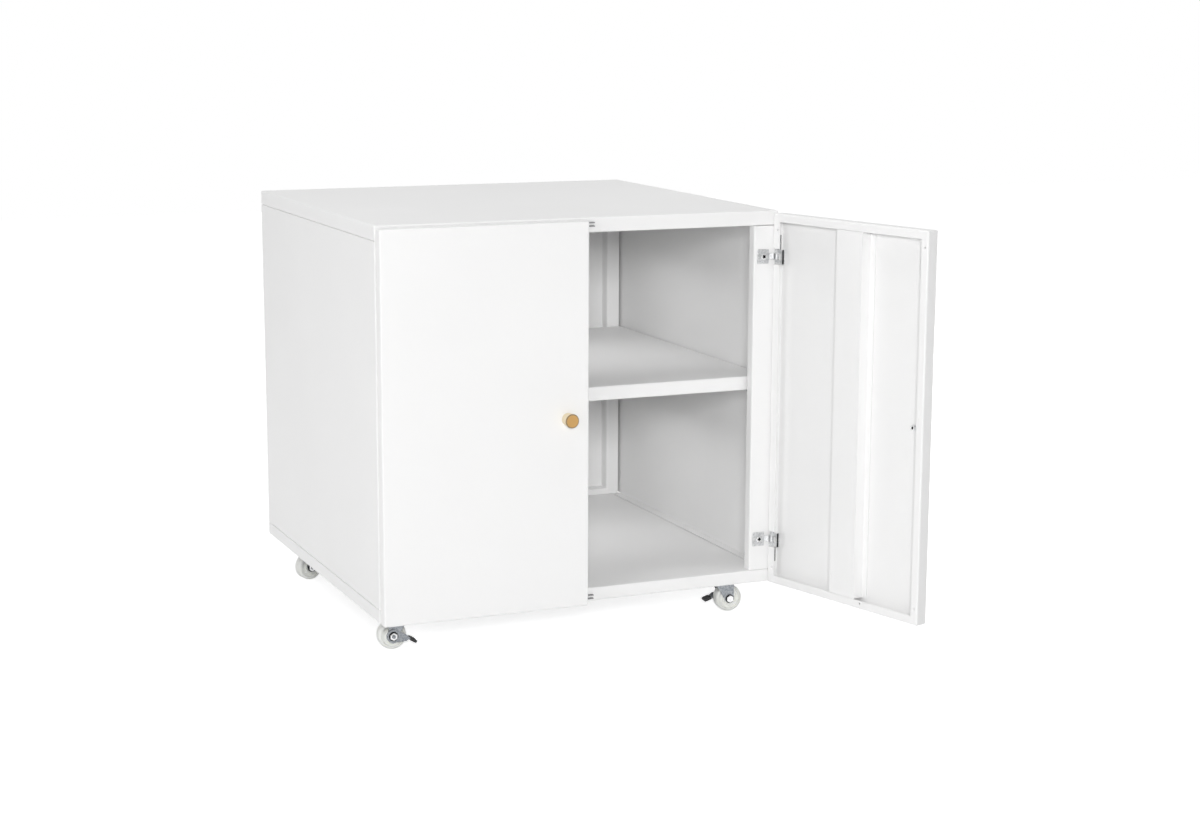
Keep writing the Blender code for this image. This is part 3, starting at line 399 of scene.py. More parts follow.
# Nylon is clouded and a touch green-yellow, and light goes a little way into it.
nylon = skin_finish(
    "white_nylon", specular=0.5, grain={"Ripple": 900.0, "Grit": 4000.0, "Drift": 70.0},
    scuffs={"Size": 220.0, "Amount": 0.5}, tones=((0.87, 0.88, 0.84), (0.91, 0.915, 0.885)),
    rough=(0.28, 0.36), scuff_change=0.22, bump=(0.00004, 0.3))
nylon_shader = nylon.node_tree.nodes["Principled BSDF"]
nylon_shader.inputs["Subsurface Weight"].default_value = 0.12
nylon_shader.inputs["Subsurface Radius"].default_value = (0.002, 0.002, 0.0016)
black_plastic = skin_finish(
    "black_plastic", specular=0.5, grain={"Ripple": 1400.0, "Grit": 5200.0, "Drift": 60.0},
    scuffs={"Size": 260.0, "Amount": 0.5}, tones=((0.012, 0.012, 0.013), (0.030, 0.030, 0.031)),
    rough=(0.38, 0.50), scuff_change=0.15, bump=(0.00008, 0.5))
print("skins:", white_coat.name, nylon.name, black_plastic.name)

# %% [markdown]
# ## Plated steel
#
# Zinc may wander from bluish grey to a duller, browner grey. It is brighter on the hinges, and on the
# pressed caster steel bluer and darker, partly as painted shade of the dim space under the cabinet.
# Bolts and screws are brighter nickel, and a near-black finish is painted shade: the dark rings round
# them, the screws' cross recesses and the knob studs' ends. The strips in the magnetic catches are dark
# bare steel.

# %% Plated steel
ROUGH_SPAN, ZINC_SCUFF = 0.16, 0.15


def zinc_finish(name, dark, light, rough):
    """Zinc plate between two greys, with a span of roughness above a value."""
    material, tree, shader, place = new_finish(name, 1.0)
    bloom = use_group(tree, plate, place)
    worn = use_group(tree, rub, place, Size=160.0, Amount=0.52)
    two_tone(tree, shader, bloom.outputs["Tone"], dark, light)
    polish = remap(tree, bloom.outputs["Dull"], rough, rough + ROUGH_SPAN)
    scuffed = blend_values(tree, "MULTIPLY", worn.outputs["Mask"], ZINC_SCUFF)
    tree.links.new(blend_values(tree, "ADD", polish, scuffed), shader.inputs["Roughness"])
    set_bump(tree, shader, bloom.outputs["Height"], 0.00005, 0.4)
    return material


zinc = zinc_finish("bright_zinc", (0.58, 0.59, 0.60), (0.80, 0.805, 0.81), 0.28)
nickel = zinc_finish("bright_nickel", (0.74, 0.745, 0.75), (0.90, 0.90, 0.905), 0.14)
# Caster zinc: bluer plating, and darker partly as painted shade of the dim surroundings under the
# cabinet
shaded_caster_zinc = zinc_finish("shaded_caster_zinc", (0.20, 0.215, 0.235), (0.36, 0.375, 0.395), 0.24)
# Near-black painted shade: the dark rings round nuts and bolt heads, the screws' cross recesses and the
# stud ends
painted_shade_black = zinc_finish("near_black_painted_shade", (0.020, 0.020, 0.022), (0.045, 0.045, 0.048), 0.55)

pole_steel, tree, shader, place = new_finish("dark_pole_steel", 0.85)
bloom = use_group(tree, plate, place, Lines=1500.0, Cells=900.0)
two_tone(tree, shader, bloom.outputs["Tone"], (0.20, 0.20, 0.205), (0.34, 0.34, 0.345))
tree.links.new(remap(tree, bloom.outputs["Dull"], 0.35, 0.55), shader.inputs["Roughness"])
set_bump(tree, shader, bloom.outputs["Height"], 0.00003, 0.3)
print("steels:", [m.name for m in (zinc, nickel, shaded_caster_zinc, painted_shade_black, pole_steel)])

# %% [markdown]
# ## Painted shade on edges
#
# Two marks of painted shade go on the plated steel: a dark outline along the forks' cut edges, and a
# dark bar at the end of each hinge's door leaf, where its notch lies in shadow. Those faces could be
# given a material of their own, but a solid's mesh is left as it is. So the material finds them by the
# way they look, from the face's own normal: on the forks all that doesn't look along the axle, and on
# the hinges' door leaves what looks towards the door's free edge, from just in front of the pin
# inwards.

# %% Painted shade on edges
# The near-black of the painted shade on the forks' edges and the door leaves' ends
PAINTED_SHADE_TONE = (0.03, 0.03, 0.032)
SHADE_EDGE_FADE = 0.0002


def copy_with_painted_shade(name, plated, make_mask):
    """A copy of a plated finish with painted shade, dark where the mask says so."""
    material = plated.copy()
    material.name = name
    tree = material.node_tree
    shader = tree.nodes["Principled BSDF"]
    coat = shader.inputs["Base Color"].links[0].from_socket
    mask = make_mask(tree, tree.nodes["Texture Coordinate"].outputs)
    tree.links.new(mix_colours(tree, mask, coat, PAINTED_SHADE_TONE), shader.inputs["Base Color"])
    return material


def end_shade_finish(name, outwards, inwards, depth):
    """Zinc with painted shade, dark on the faces that look outwards, from a depth in metres inwards."""
    def mask(tree, coordinates):
        looks = vector_step(tree, "DOT_PRODUCT", coordinates["Normal"], outwards)
        sunk = vector_step(tree, "DOT_PRODUCT", coordinates["Object"], inwards)
        near = remap(tree, sunk, 0.0, 1.0, depth - SHADE_EDGE_FADE, depth + SHADE_EDGE_FADE)
        return blend_values(tree, "MULTIPLY", near, remap(tree, looks, 0.0, 1.0, 0.85, 0.95))
    return copy_with_painted_shade(name, zinc, mask)


def edge_shade_finish(name, axle):
    """Caster zinc with painted shade, dark on every face that does not look along the axle: an outline
    on the cut edges.
    """
    def mask(tree, coordinates):
        looks = vector_step(tree, "DOT_PRODUCT", coordinates["Normal"], axle)
        along = blend_values(tree, "ABSOLUTE", looks, 0.0)
        return remap(tree, along, 0.85, 0.0, 0.3, 0.6)
    return copy_with_painted_shade(name, shaded_caster_zinc, mask)


print("painted shade tone is", PAINTED_SHADE_TONE)

# %% [markdown]
# ## Dressing the solids
#
# The record says which slot each solid takes its finish from, and most of them need no more than that.
# The caster steel gets a darker zinc, partly as painted shade, and the hinges' door leaves and the
# forks get zinc with painted shade on their edges.

# %% Dress the solids
CORNERS = ("front_left", "front_right", "rear_left", "rear_right")
CASTER_WORDS = ("fork", "caster_plate", "brake_lever")
FINISHES = {"white_coat": white_coat, "zinc": zinc, "pole_steel": pole_steel,
            "nylon": nylon, "black_plastic": black_plastic}
RIGHT_DOOR_OPEN = radians(105)
SHADE_START_DEPTH = 0.0016


def paint(piece, finish):
    """Give a whole piece one finish."""
    piece.data.materials.clear()
    piece.data.materials.append(finish)
    return piece


for part in frame["record"]["subparts"]:
    finish = FINISHES.get(part["material_slot"])
    # Caster steel takes the darker zinc, which is partly painted shade
    if part["node"].endswith(CASTER_WORDS):
        finish = shaded_caster_zinc
    if finish:
        paint(nodes[part["node"]], finish)

to_free_edge = {"left": Vector((1, 0, 0)),
                "right": Vector((-cos(RIGHT_DOOR_OPEN), -sin(RIGHT_DOOR_OPEN), 0))}
for hand, direction in to_free_edge.items():
    into_cabinet = Vector((-direction.y, direction.x, 0)) * (1 if hand == "left" else -1)
    axis_depth = Vector(joints[hand + "_door_hinge"]["pos_m"]).dot(into_cabinet)
    # Painted shade: the leaf's end beyond the pin is dark, as the shadow in the door's notch
    leaf_end_shaded_zinc = end_shade_finish(hand + "_leaf_zinc_end_shade", direction, into_cabinet, axis_depth - SHADE_START_DEPTH)
    for level in ("upper", "lower"):
        paint(nodes[hand + "_" + level + "_door_leaf"], leaf_end_shaded_zinc)
for corner in CORNERS:
    # Painted shade: the cut edges of forks and levers are dark, as an outline of the shade between fork
    # and wheel
    fork_edge_shaded = edge_shade_finish(corner + "_fork_zinc_edge_shade", joints[corner + "_wheel_spin"]["axis"])
    for word in ("_fork", "_brake_lever"):
        if corner + word in nodes:
            paint(nodes[corner + word], fork_edge_shaded)
print("finishes:", sorted(FINISHES), "and painted shade on door leaves and forks")

# %% [markdown]
# ## Tools for modelling by hand
#
# The pieces below are modelled as one would in the viewport: add a primitive, enter edit mode, select
# some faces, inset, extrude, bevel. A script has no mouse, so faces and edges are picked by where they
# are and which way they face.

# %% Edit tools
def fresh():
    """Back to object mode with nothing selected."""
    if bpy.context.object and bpy.context.object.mode != "OBJECT":
        bpy.ops.object.mode_set(mode="OBJECT")
    bpy.ops.object.select_all(action="DESELECT")


def take(piece):
    """Make a piece the active one, and the only one selected."""
    fresh()
    piece.select_set(True)
    bpy.context.view_layer.objects.active = piece


def edit(mode="FACE"):
    """Edit mode on the active object, with faces or edges as what is picked."""
    bpy.ops.object.mode_set(mode="EDIT")
    bpy.ops.mesh.select_mode(type=mode)
    bpy.ops.mesh.select_all(action="DESELECT")


def pick_faces(test):
    """Select the faces whose centre and normal pass a test."""
    bpy.ops.mesh.select_mode(type="FACE")
    bpy.ops.mesh.select_all(action="DESELECT")
    bm = bmesh.from_edit_mesh(bpy.context.edit_object.data)
    for face in bm.faces:
        face.select_set(test(face.calc_center_median(), face.normal))
    bmesh.update_edit_mesh(bpy.context.edit_object.data)


def pick_edges(test):
    """Select the edges whose two ends pass a test."""
    bpy.ops.mesh.select_mode(type="EDGE")
    bpy.ops.mesh.select_all(action="DESELECT")
    bm = bmesh.from_edit_mesh(bpy.context.edit_object.data)
    for one in bm.edges:
        one.select_set(test(one.verts[0].co, one.verts[1].co))
    bmesh.update_edit_mesh(bpy.context.edit_object.data)


def done_editing(angle=32):
    """Leave edit mode and shade smooth, with edges sharper than the angle kept."""
    bpy.ops.object.mode_set(mode="OBJECT")
    bpy.ops.object.shade_smooth_by_angle(angle=radians(angle))
    return bpy.context.object


def apply_modifiers(piece):
    """Apply all of a piece's modifiers."""
    take(piece)
    for modifier in list(piece.modifiers):
        bpy.ops.object.modifier_apply(modifier=modifier.name)


def soften(piece, width, above, smooth):
    """Round a moulding's edges that turn by more than an angle, and shade smooth up to another."""
    rounding = piece.modifiers.new("moulded_edges", "BEVEL")
    rounding.width = width
    rounding.segments = 2
    rounding.limit_method = "ANGLE"
    rounding.angle_limit = radians(above)
    apply_modifiers(piece)
    bpy.ops.object.shade_smooth_by_angle(angle=radians(smooth))


print("ways to pick:", pick_faces.__doc__, pick_edges.__doc__)

# %% [markdown]
# ## Tools for placing
#
# A finished piece is moved to its place, and the move is applied to its mesh, so that the object itself
# stays at the origin like the solids do. What repeats is modelled once and copied.

# %% Place tools
def settle(piece, matrix):
    """Put a piece in place and apply the move to its mesh."""
    take(piece)
    piece.matrix_world = matrix
    bpy.ops.object.transform_apply(location=True, rotation=True, scale=True)
    return piece


def cylinder(sides, radius, low, high):
    """A cylinder along z between two heights, to start a piece from."""
    fresh()
    bpy.ops.mesh.primitive_cylinder_add(vertices=sides, radius=radius, depth=high - low,
                                        location=(0, 0, (low + high) / 2))
    bpy.ops.object.transform_apply(location=True, rotation=False, scale=False)
    return bpy.context.object


def block(middle, size):
    """A box of a given middle and size, to start a piece from."""
    fresh()
    bpy.ops.mesh.primitive_cube_add(size=1)
    return settle(bpy.context.object, Matrix.LocRotScale(middle, None, size))


def join_pieces(name, pieces):
    """Join pieces into one object."""
    fresh()
    for piece in pieces:
        piece.select_set(True)
    bpy.context.view_layer.objects.active = pieces[0]
    if len(pieces) > 1:
        bpy.ops.object.join()
    joined = bpy.context.object
    joined.name = name
    joined.data.name = name
    return joined


def copy_of(model, name):
    """A copy with its own mesh."""
    piece = model.copy()
    piece.data = model.data.copy()
    piece.name = name
    piece.data.name = name
    bpy.context.scene.collection.objects.link(piece)
    return piece


def dress(piece, finish, slot, body, *replaced):
    """Give a piece its finish and the body that it rides on, and hide the solid that it stands for."""
    if finish:
        paint(piece, finish)
    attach(piece, body)
    if replaced:
        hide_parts(*replaced)
    return piece


def drop_model(*models):
    """Remove the pattern pieces that copies were made from."""
    for model in models:
        bpy.data.objects.remove(model, do_unlink=True)


def axle_place(corner):
    """The frame of a caster's axle: x trails away from the kingpin, y runs along the axle."""
    spin = joints[corner + "_wheel_spin"]
    turn = atan2(-spin["axis"][0], spin["axis"][1])
    return Matrix.Translation(spin["pos_m"]) @ Matrix.Rotation(turn, 4, "Z")


AXLE_ALONG_Y = Matrix.Rotation(-pi / 2, 4, "X")
for corner in CORNERS:
    print(corner, "axle along", [round(v, 2) for v in joints[corner + "_wheel_spin"]["axis"]])

# %% [markdown]
# ## Wheels
#
# A caster wheel of this kind is one nylon moulding: a rounded tread, a dished web on each side, a ring
# groove in the web and a hub that stands out to meet the fork. It could be spun from a profile. Here
# it starts as a cylinder, and each side is worked inwards by a chain of insets with depth, which is
# how one would do it by hand. Bridging the two hub faces at the end opens the bore for the axle.

# %% Wheels
WHEEL_R, TREAD_WIDTH, TREAD_ROUND, BORE_R = 0.01985, 0.018, 0.0034, 0.0034

wheel_model = cylinder(72, WHEEL_R, -TREAD_WIDTH / 2, TREAD_WIDTH / 2)
edit()
side_steps = [
    (0.0038, 0.0),       # flat of the rim
    (0.0009, -0.0022),   # slope down into the dish
    (0.0024, -0.0004),   # outer web
    (0.0004, -0.0007),   # ring groove, down
    (0.0008, 0.0),       # groove floor
    (0.0004, 0.0007),    # groove, up
    (0.0018, 0.0003),    # inner web
    (0.0006, 0.0030),    # hub wall
    (0.0012, 0.0),       # hub face
    (0.0004, -0.0006),   # counterbore
]
pick_faces(lambda c, n: abs(n.z) > 0.9)
for width, rise in side_steps:
    bpy.ops.mesh.inset(thickness=width, depth=rise, use_individual=True, use_even_offset=True)
hub_gap = WHEEL_R - sum(width for width, rise in side_steps) - BORE_R
bpy.ops.mesh.inset(thickness=hub_gap, depth=0, use_individual=True)
bpy.ops.mesh.bridge_edge_loops()
pick_edges(lambda a, b: all(abs(abs(v.z) - TREAD_WIDTH / 2) < 1e-6
                            and v.xy.length > WHEEL_R - 1e-4 for v in (a, b)))
bpy.ops.mesh.bevel(offset=TREAD_ROUND, segments=6, affect="EDGES", profile=0.5)
done_editing()
soften(wheel_model, width=0.00035, above=38, smooth=40)
for corner in CORNERS:
    wheel = settle(copy_of(wheel_model, corner + "_wheel_moulding"), axle_place(corner) @ AXLE_ALONG_Y)
    dress(wheel, nylon, "nylon", corner + "_roller", corner + "_wheel")
print("wheel:", len(wheel_model.data.polygons), "faces")
drop_model(wheel_model)

# %% [markdown]
# ## Bolts, rods and threads
#
# A hexagon is a cylinder with six sides; its chamfer comes from an inset of the end face and a small
# drop of the outer corners. A rod has its two ends bevelled. A thread is a rod cut across many times,
# with every second ring drawn in, which looks like a thread at this size and needs no screw sweep.

# %% Bolts, rods and threads
THREAD_ROOT = 0.86   # the thread's root as a share of its radius


def hexagon(radius, low, high, chamfer):
    """A hexagon prism along z with its top edge chamfered."""
    cylinder(6, radius, low, high)
    edit()
    pick_faces(lambda c, n: n.z > 0.9)
    bpy.ops.mesh.inset(thickness=chamfer, depth=0)
    bpy.ops.transform.translate(value=(0, 0, chamfer * 0.5))
    pick_faces(lambda c, n: n.z > 0.9)
    bpy.ops.mesh.inset(thickness=chamfer, depth=-chamfer * 0.3)
    return done_editing(20)


def rod(radius, low, high, sides=32, bevel=0.0004):
    """A round rod along z with bevelled ends."""
    cylinder(sides, radius, low, high)
    edit("EDGE")
    pick_edges(lambda a, b: abs(a.z - b.z) < 1e-7)
    bpy.ops.mesh.bevel(offset=bevel, segments=2, affect="EDGES")
    return done_editing()


def thread(radius, low, high, pitch):
    """A threaded stub along z: a rod whose side is drawn in and out, ring by ring."""
    rod(radius, low, high, 24, pitch / 3)
    edit()
    turns = int((high - low) / pitch)
    for step in range(1, 2 * turns):
        bpy.ops.mesh.select_all(action="SELECT")
        bpy.ops.mesh.bisect(plane_co=(0, 0, low + step * pitch / 2), plane_no=(0, 0, 1))
        if step % 2:
            bpy.ops.transform.resize(value=(THREAD_ROOT, THREAD_ROOT, 1), center_override=(0, 0, 0))
    return done_editing(60)


def turned_over(piece):
    """The same piece pointing down."""
    return settle(piece, Matrix.Rotation(pi, 4, "X"))


print("a thread's root is", THREAD_ROOT, "of its radius")

# %% [markdown]
# ## Axle bolts
#
# Each wheel turns on a hexagon bolt with a locking nut. The photograph shows the bright faces of the
# nut on the pressed front brake, so the corners are kept crisp. On the front casters the nut sits on
# the brake lever, which is further out than the fork.

# %% Axle bolts
HEX_R, HEX_CHAMFER, SHANK_R, BOLT_REACH = 0.0056, 0.0008, 0.0029, 0.0034
WASHER_R, WASHER_THICK, HEAD_SHADE_RING_R, HEAD_SHADE_RING_THICK = 0.0066, 0.0008, 0.0064, 0.0005
STUB_R, STUB_LENGTH, STUB_PITCH = 0.0026, 0.0014, 0.0007
NUT_SHORT, HEAD_SHORT, HEAD_START = 0.0012, 0.0010, 0.0004
FORK_HALF, LEVER_FACE, PLAY = 0.0120, 0.0137, 0.0003

for corner in CORNERS:
    nut_face = (LEVER_FACE if corner.startswith("front") else FORK_HALF) + PLAY
    head_face = FORK_HALF + PLAY
    nut_end, head_end = nut_face + BOLT_REACH, head_face + BOLT_REACH
    washer = rod(WASHER_R, nut_face, nut_face + WASHER_THICK, 40, 0.0002)
    head_shade_ring = turned_over(rod(HEAD_SHADE_RING_R, head_face, head_face + HEAD_SHADE_RING_THICK, 40, 0.0001))
    nut = hexagon(HEX_R, nut_face + WASHER_THICK, nut_end - NUT_SHORT, HEX_CHAMFER)
    stub = thread(STUB_R, nut_end - STUB_LENGTH, nut_end, STUB_PITCH)
    head = turned_over(hexagon(HEX_R, head_face + HEAD_START, head_end - HEAD_SHORT, HEX_CHAMFER))
    shank = rod(SHANK_R, -head_face, nut_face)
    bright = [paint(piece, nickel) for piece in (nut, head, shank)]
    # Washer and head ring are near-black as painted shade, the dark rings round nut and head; the stub
    # is caster zinc
    dark = [paint(washer, painted_shade_black), paint(head_shade_ring, painted_shade_black), paint(stub, shaded_caster_zinc)]
    bolt = join_pieces(corner + "_axle_bolt", bright + dark)
    settle(bolt, axle_place(corner) @ AXLE_ALONG_Y)
    dress(bolt, None, "zinc", corner + "_swivel", corner + "_axle")
print("axle bolts on", len(CORNERS), "casters")

# %% [markdown]
# ## Brake pads
#
# The two front casters have a small pedal: a zinc lever on one side of the fork, with a black plastic
# sleeve on its sloping tread, ribbed so that a shoe grips it. The sleeve is a box; bisecting it across
# and raising every second strip makes the ribs, and a bevel takes the hardness off its edges.

# %% Brake pads
TREAD_START, TREAD_SLOPE = 0.0240, radians(20)
PAD_START, PAD_END, PAD_THICK, PAD_ROUND = 0.0004, 0.0120, 0.0050, 0.0018
PAD_WIDTH, PAD_MIDDLE = 0.0132, 0.0071
RIB_HEIGHT, RIB_COUNT, RIB_INSET, RIBS_FROM, RIBS_SPARE = 0.0005, 4, 0.00025, 0.0012, 0.0036

pad_length = PAD_END - PAD_START
ribbed = pad_length - RIBS_SPARE
strips = 2 * RIB_COUNT + 1
pad_model = block((-(PAD_START + PAD_END) / 2, PAD_MIDDLE, 0),
                  (pad_length, PAD_WIDTH, PAD_THICK - 2 * RIB_HEIGHT))
edit("EDGE")
pick_edges(lambda a, b: a.x < -PAD_END + 1e-5 and b.x < -PAD_END + 1e-5)
bpy.ops.mesh.bevel(offset=PAD_ROUND, segments=4, affect="EDGES")
for step in range(1, strips):
    bpy.ops.mesh.select_all(action="SELECT")
    cut = -PAD_START - RIBS_FROM - ribbed * step / strips
    bpy.ops.mesh.bisect(plane_co=(cut, 0, 0), plane_no=(1, 0, 0))


def is_rib(centre, normal):
    """Every second strip of the sleeve's two broad faces."""
    share = (-centre.x - PAD_START - RIBS_FROM) / ribbed * strips
    return abs(normal.z) > 0.9 and 1 < share < strips - 1 and int(share) % 2 == 1


pick_faces(is_rib)
bpy.ops.mesh.inset(thickness=RIB_INSET, depth=RIB_HEIGHT, use_individual=True)
done_editing()
soften(pad_model, width=0.0002, above=50, smooth=45)
on_tread = Matrix.Translation((-TREAD_START, 0, 0)) @ Matrix.Rotation(-TREAD_SLOPE, 4, "Y")
for corner in CORNERS[:2]:
    tip = -joints[corner + "_pedal_tip"]["range_deg"][1]
    pad = copy_of(pad_model, corner + "_pedal_sleeve")
    settle(pad, axle_place(corner) @ Matrix.Rotation(radians(tip), 4, "Y") @ on_tread)
    dress(pad, black_plastic, "black_plastic", corner + "_pedal", corner + "_brake_pad")
print("brake pad:", len(pad_model.data.polygons), "faces")
drop_model(pad_model)

# %% [markdown]
# ## Caster bolts
#
# Four small hexagon bolts hold each caster's plate to the rail above it. They sit near the plate's
# corners, clear of the fork as it swivels. One is modelled and copied round.

# %% Caster bolts
BOLT_X, BOLT_Y, PLATE_THICK = 0.0225, 0.0150, 0.0025
CAP_R, CAP_LOW, CAP_HIGH, CAP_CHAMFER = 0.0044, 0.0009, 0.0032, 0.0006
FLANGE_R, FLANGE_THICK = 0.0052, 0.0010

cap = hexagon(CAP_R, CAP_LOW, CAP_HIGH, CAP_CHAMFER)
flange = rod(FLANGE_R, 0.0, FLANGE_THICK, 32, 0.0002)
caster_bolt = turned_over(join_pieces("caster_bolt", [cap, flange]))
for corner in CORNERS:
    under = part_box(corner + "_caster_plate")[1].z - PLATE_THICK
    kingpin = Vector(joints[corner + "_swivel_turn"]["pos_m"])
    copies = []
    for x in (-BOLT_X, BOLT_X):
        for y in (-BOLT_Y, BOLT_Y):
            one = copy_of(caster_bolt, "bolt")
            settle(one, Matrix.Translation((kingpin.x + x, kingpin.y + y, under)))
            copies.append(one)
    bolts = join_pieces(corner + "_caster_bolts", copies)
    dress(bolts, nickel, "zinc", "carcass")
drop_model(caster_bolt)
print("caster bolts under the plates at z", round(under, 4))

# %% [markdown]
# ## Wood
#
# The knobs are short turned cylinders of pale wood. Their sides are nearly cream, while the end, where
# the grain stands upright, is a warm tan with a darker line round its edge. So the knob has three
# finishes: long grain on the side, end grain on the face, and the line between them. The grain follows
# the knob, not the cabinet, so each point keeps its place on the lathe in an attribute that the
# finishes read.

# %% Wood
FULL_TURN = 6.283
HEART = (0.006, 0.003, 0.0)        # how far the knob's axis is from the middle of the tree
ALONG_GRAIN = (1.0, 1.0, 0.04)     # rings and pores are drawn out along the knob
RING_SHARE, PORE_SHARE, WOOD_SPAN = 0.6, 0.4, 0.12

wood_rings, rings_in, rings_out = new_group(
    "year_rings", [PLACE, ("Ring", 900.0), ("Wobble", 0.0006)], ["Ring Tone", "Pores"])
wander = noise(wood_rings, rings_in.outputs["Place"], 260.0, 3.0)
shift = blend_values(wood_rings, "MULTIPLY", wander, rings_in.outputs["Wobble"])
off_centre = vector_step(wood_rings, "ADD", rings_in.outputs["Place"], HEART)
flatten = vector_step(wood_rings, "MULTIPLY", off_centre, ALONG_GRAIN)
radius = blend_values(wood_rings, "ADD", vector_step(wood_rings, "LENGTH", flatten), shift)
phase = blend_values(wood_rings, "MULTIPLY", radius, rings_in.outputs["Ring"])
wave = blend_values(wood_rings, "SINE", blend_values(wood_rings, "MULTIPLY", phase, FULL_TURN), 0.0)
wood_rings.links.new(remap(wood_rings, wave, 0.0, 1.0, -1.0, 1.0), rings_out.inputs["Ring Tone"])
pores = noise(wood_rings, flatten, 3200.0, 3.0)
wood_rings.links.new(remap(wood_rings, pores, 0.0, 1.0, 0.35, 0.7), rings_out.inputs["Pores"])


def wood_finish(name, light, dark, rough):
    """Lacquered wood whose rings follow the piece's own lathe coordinates."""
    material, tree, shader, _ = new_finish(name, 0.0)
    lathe = tree.nodes.new("ShaderNodeAttribute")
    lathe.attribute_name = "lathe_place"
    rings = use_group(tree, wood_rings, lathe.outputs["Vector"])
    ring_part = blend_values(tree, "MULTIPLY", rings.outputs["Ring Tone"], RING_SHARE)
    pore_part = blend_values(tree, "MULTIPLY", rings.outputs["Pores"], PORE_SHARE)
    two_tone(tree, shader, blend_values(tree, "ADD", ring_part, pore_part), light, dark)
    polish = remap(tree, rings.outputs["Pores"], rough, rough + WOOD_SPAN)
    tree.links.new(polish, shader.inputs["Roughness"])
    set_bump(tree, shader, rings.outputs["Pores"], 0.00004, 0.4)
    return material


end_grain = wood_finish("knob_end_grain", (0.60, 0.36, 0.125), (0.52, 0.295, 0.095), 0.42)
long_grain = wood_finish("knob_long_grain", (0.82, 0.72, 0.52), (0.70, 0.56, 0.36), 0.45)
# A darker wood finish for the knob's rounded front edge
dark_rim_finish = wood_finish("knob_dark_rim", (0.30, 0.21, 0.11), (0.22, 0.15, 0.075), 0.5)
print("wood finishes:", end_grain.name, long_grain.name, dark_rim_finish.name)

# %% [markdown]
# ## Knobs
#
# A knob narrows a little towards its foot, has a rounded front edge and a face that is dished by a few
# tenths of a millimetre. All of that is a cylinder with one end scaled, a bevel, and a few insets. The
# knob is modelled once. Its place on the right door is the mirror image of the left one's, swung open
# with the door.

# %% Knobs
KNOB_R, KNOB_FOOT_R, KNOB_LENGTH, KNOB_STAND, KNOB_ROUND = 0.0100, 0.0086, 0.0177, 0.0003, 0.0016
RIM_BAND = 0.0012
foot_steps = ((0.0030, 0.0), (0.0008, -0.0012))
dish_steps = ((0.0011, -0.0004), (0.0020, -0.0001), (0.0025, -0.0001))

knob_model = cylinder(64, KNOB_R, KNOB_STAND, KNOB_STAND + KNOB_LENGTH)
edit()
pick_faces(lambda c, n: n.z < -0.9)
taper = KNOB_FOOT_R / KNOB_R
bpy.ops.transform.resize(value=(taper, taper, 1), center_override=(0, 0, KNOB_STAND))
for width, rise in foot_steps:
    bpy.ops.mesh.inset(thickness=width, depth=rise)
pick_edges(lambda a, b: min(a.z, b.z) > KNOB_LENGTH - 0.001)
bpy.ops.mesh.bevel(offset=KNOB_ROUND, segments=6, affect="EDGES")
pick_faces(lambda c, n: n.z > 0.99 and c.xy.length < 0.002)
for width, rise in dish_steps:
    bpy.ops.mesh.inset(thickness=width, depth=rise)
done_editing(50)
lathe_place = knob_model.data.attributes.new("lathe_place", "FLOAT_VECTOR", "POINT")
lathe_place.data.foreach_set("vector", [x for v in knob_model.data.vertices for x in v.co])
for finish in (long_grain, end_grain, dark_rim_finish):
    knob_model.data.materials.append(finish)
for face in knob_model.data.polygons:
    if face.normal.z > 0.85 and face.center.xy.length < KNOB_R - KNOB_ROUND:
        face.material_index = 1
    # The band of the rounded front edge takes the darker finish
    elif face.center.z > KNOB_STAND + KNOB_LENGTH - RIM_BAND and face.normal.z > 0.15:
        face.material_index = 2

lowest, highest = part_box("left_knob")
middle = (lowest + highest) / 2
door_face_y = highest.y + KNOB_STAND
facing_front = Matrix.Rotation(pi / 2, 4, "X")
left_place = Matrix.Translation((middle.x, door_face_y, middle.z)) @ facing_front
mirrored = Matrix.Translation((-middle.x, door_face_y, middle.z)) @ facing_front
hinge_line = Vector(joints["right_door_hinge"]["pos_m"])
swing = (Matrix.Translation(hinge_line) @ Matrix.Rotation(RIGHT_DOOR_OPEN, 4, "Z")
         @ Matrix.Translation(-hinge_line))
knob_places = {"left": left_place, "right": swing @ mirrored}
for hand, place in knob_places.items():
    knob = settle(copy_of(knob_model, hand + "_turned_knob"), place)
    dress(knob, None, "knob_wood", hand + "_door_set", hand + "_knob")
drop_model(knob_model)
print("knobs at", [round(v, 3) for v in middle])

# %% [markdown]
# ## Knob studs
#
# Inside the door, the knob's stud shows as a short plain end with a nut and a washer. On the open door
# this is the one small thing that breaks the white, so it is worth its few faces.

# %% Knob studs
DOOR_SHEET, STUD_CLEAR = 0.0010, 0.0004
STUD_WASHER_R, STUD_WASHER_THICK = 0.0046, 0.0008
STUD_NUT_R, STUD_NUT_TOP, STUD_NUT_CHAMFER = 0.0038, 0.0030, 0.0006
STUD_END_R, STUD_END_TOP, STUD_R, STUD_DEPTH = 0.0016, 0.0036, 0.0019, 0.0105

washer = rod(STUD_WASHER_R, 0.0, STUD_WASHER_THICK, 40, 0.0002)
nut = hexagon(STUD_NUT_R, STUD_WASHER_THICK, STUD_NUT_TOP, STUD_NUT_CHAMFER)
stud_end = rod(STUD_END_R, STUD_NUT_TOP, STUD_END_TOP, 24, 0.0003)
shaft = rod(STUD_R, -STUD_DEPTH, 0.0)
bright = [paint(piece, nickel) for piece in (nut, shaft)]
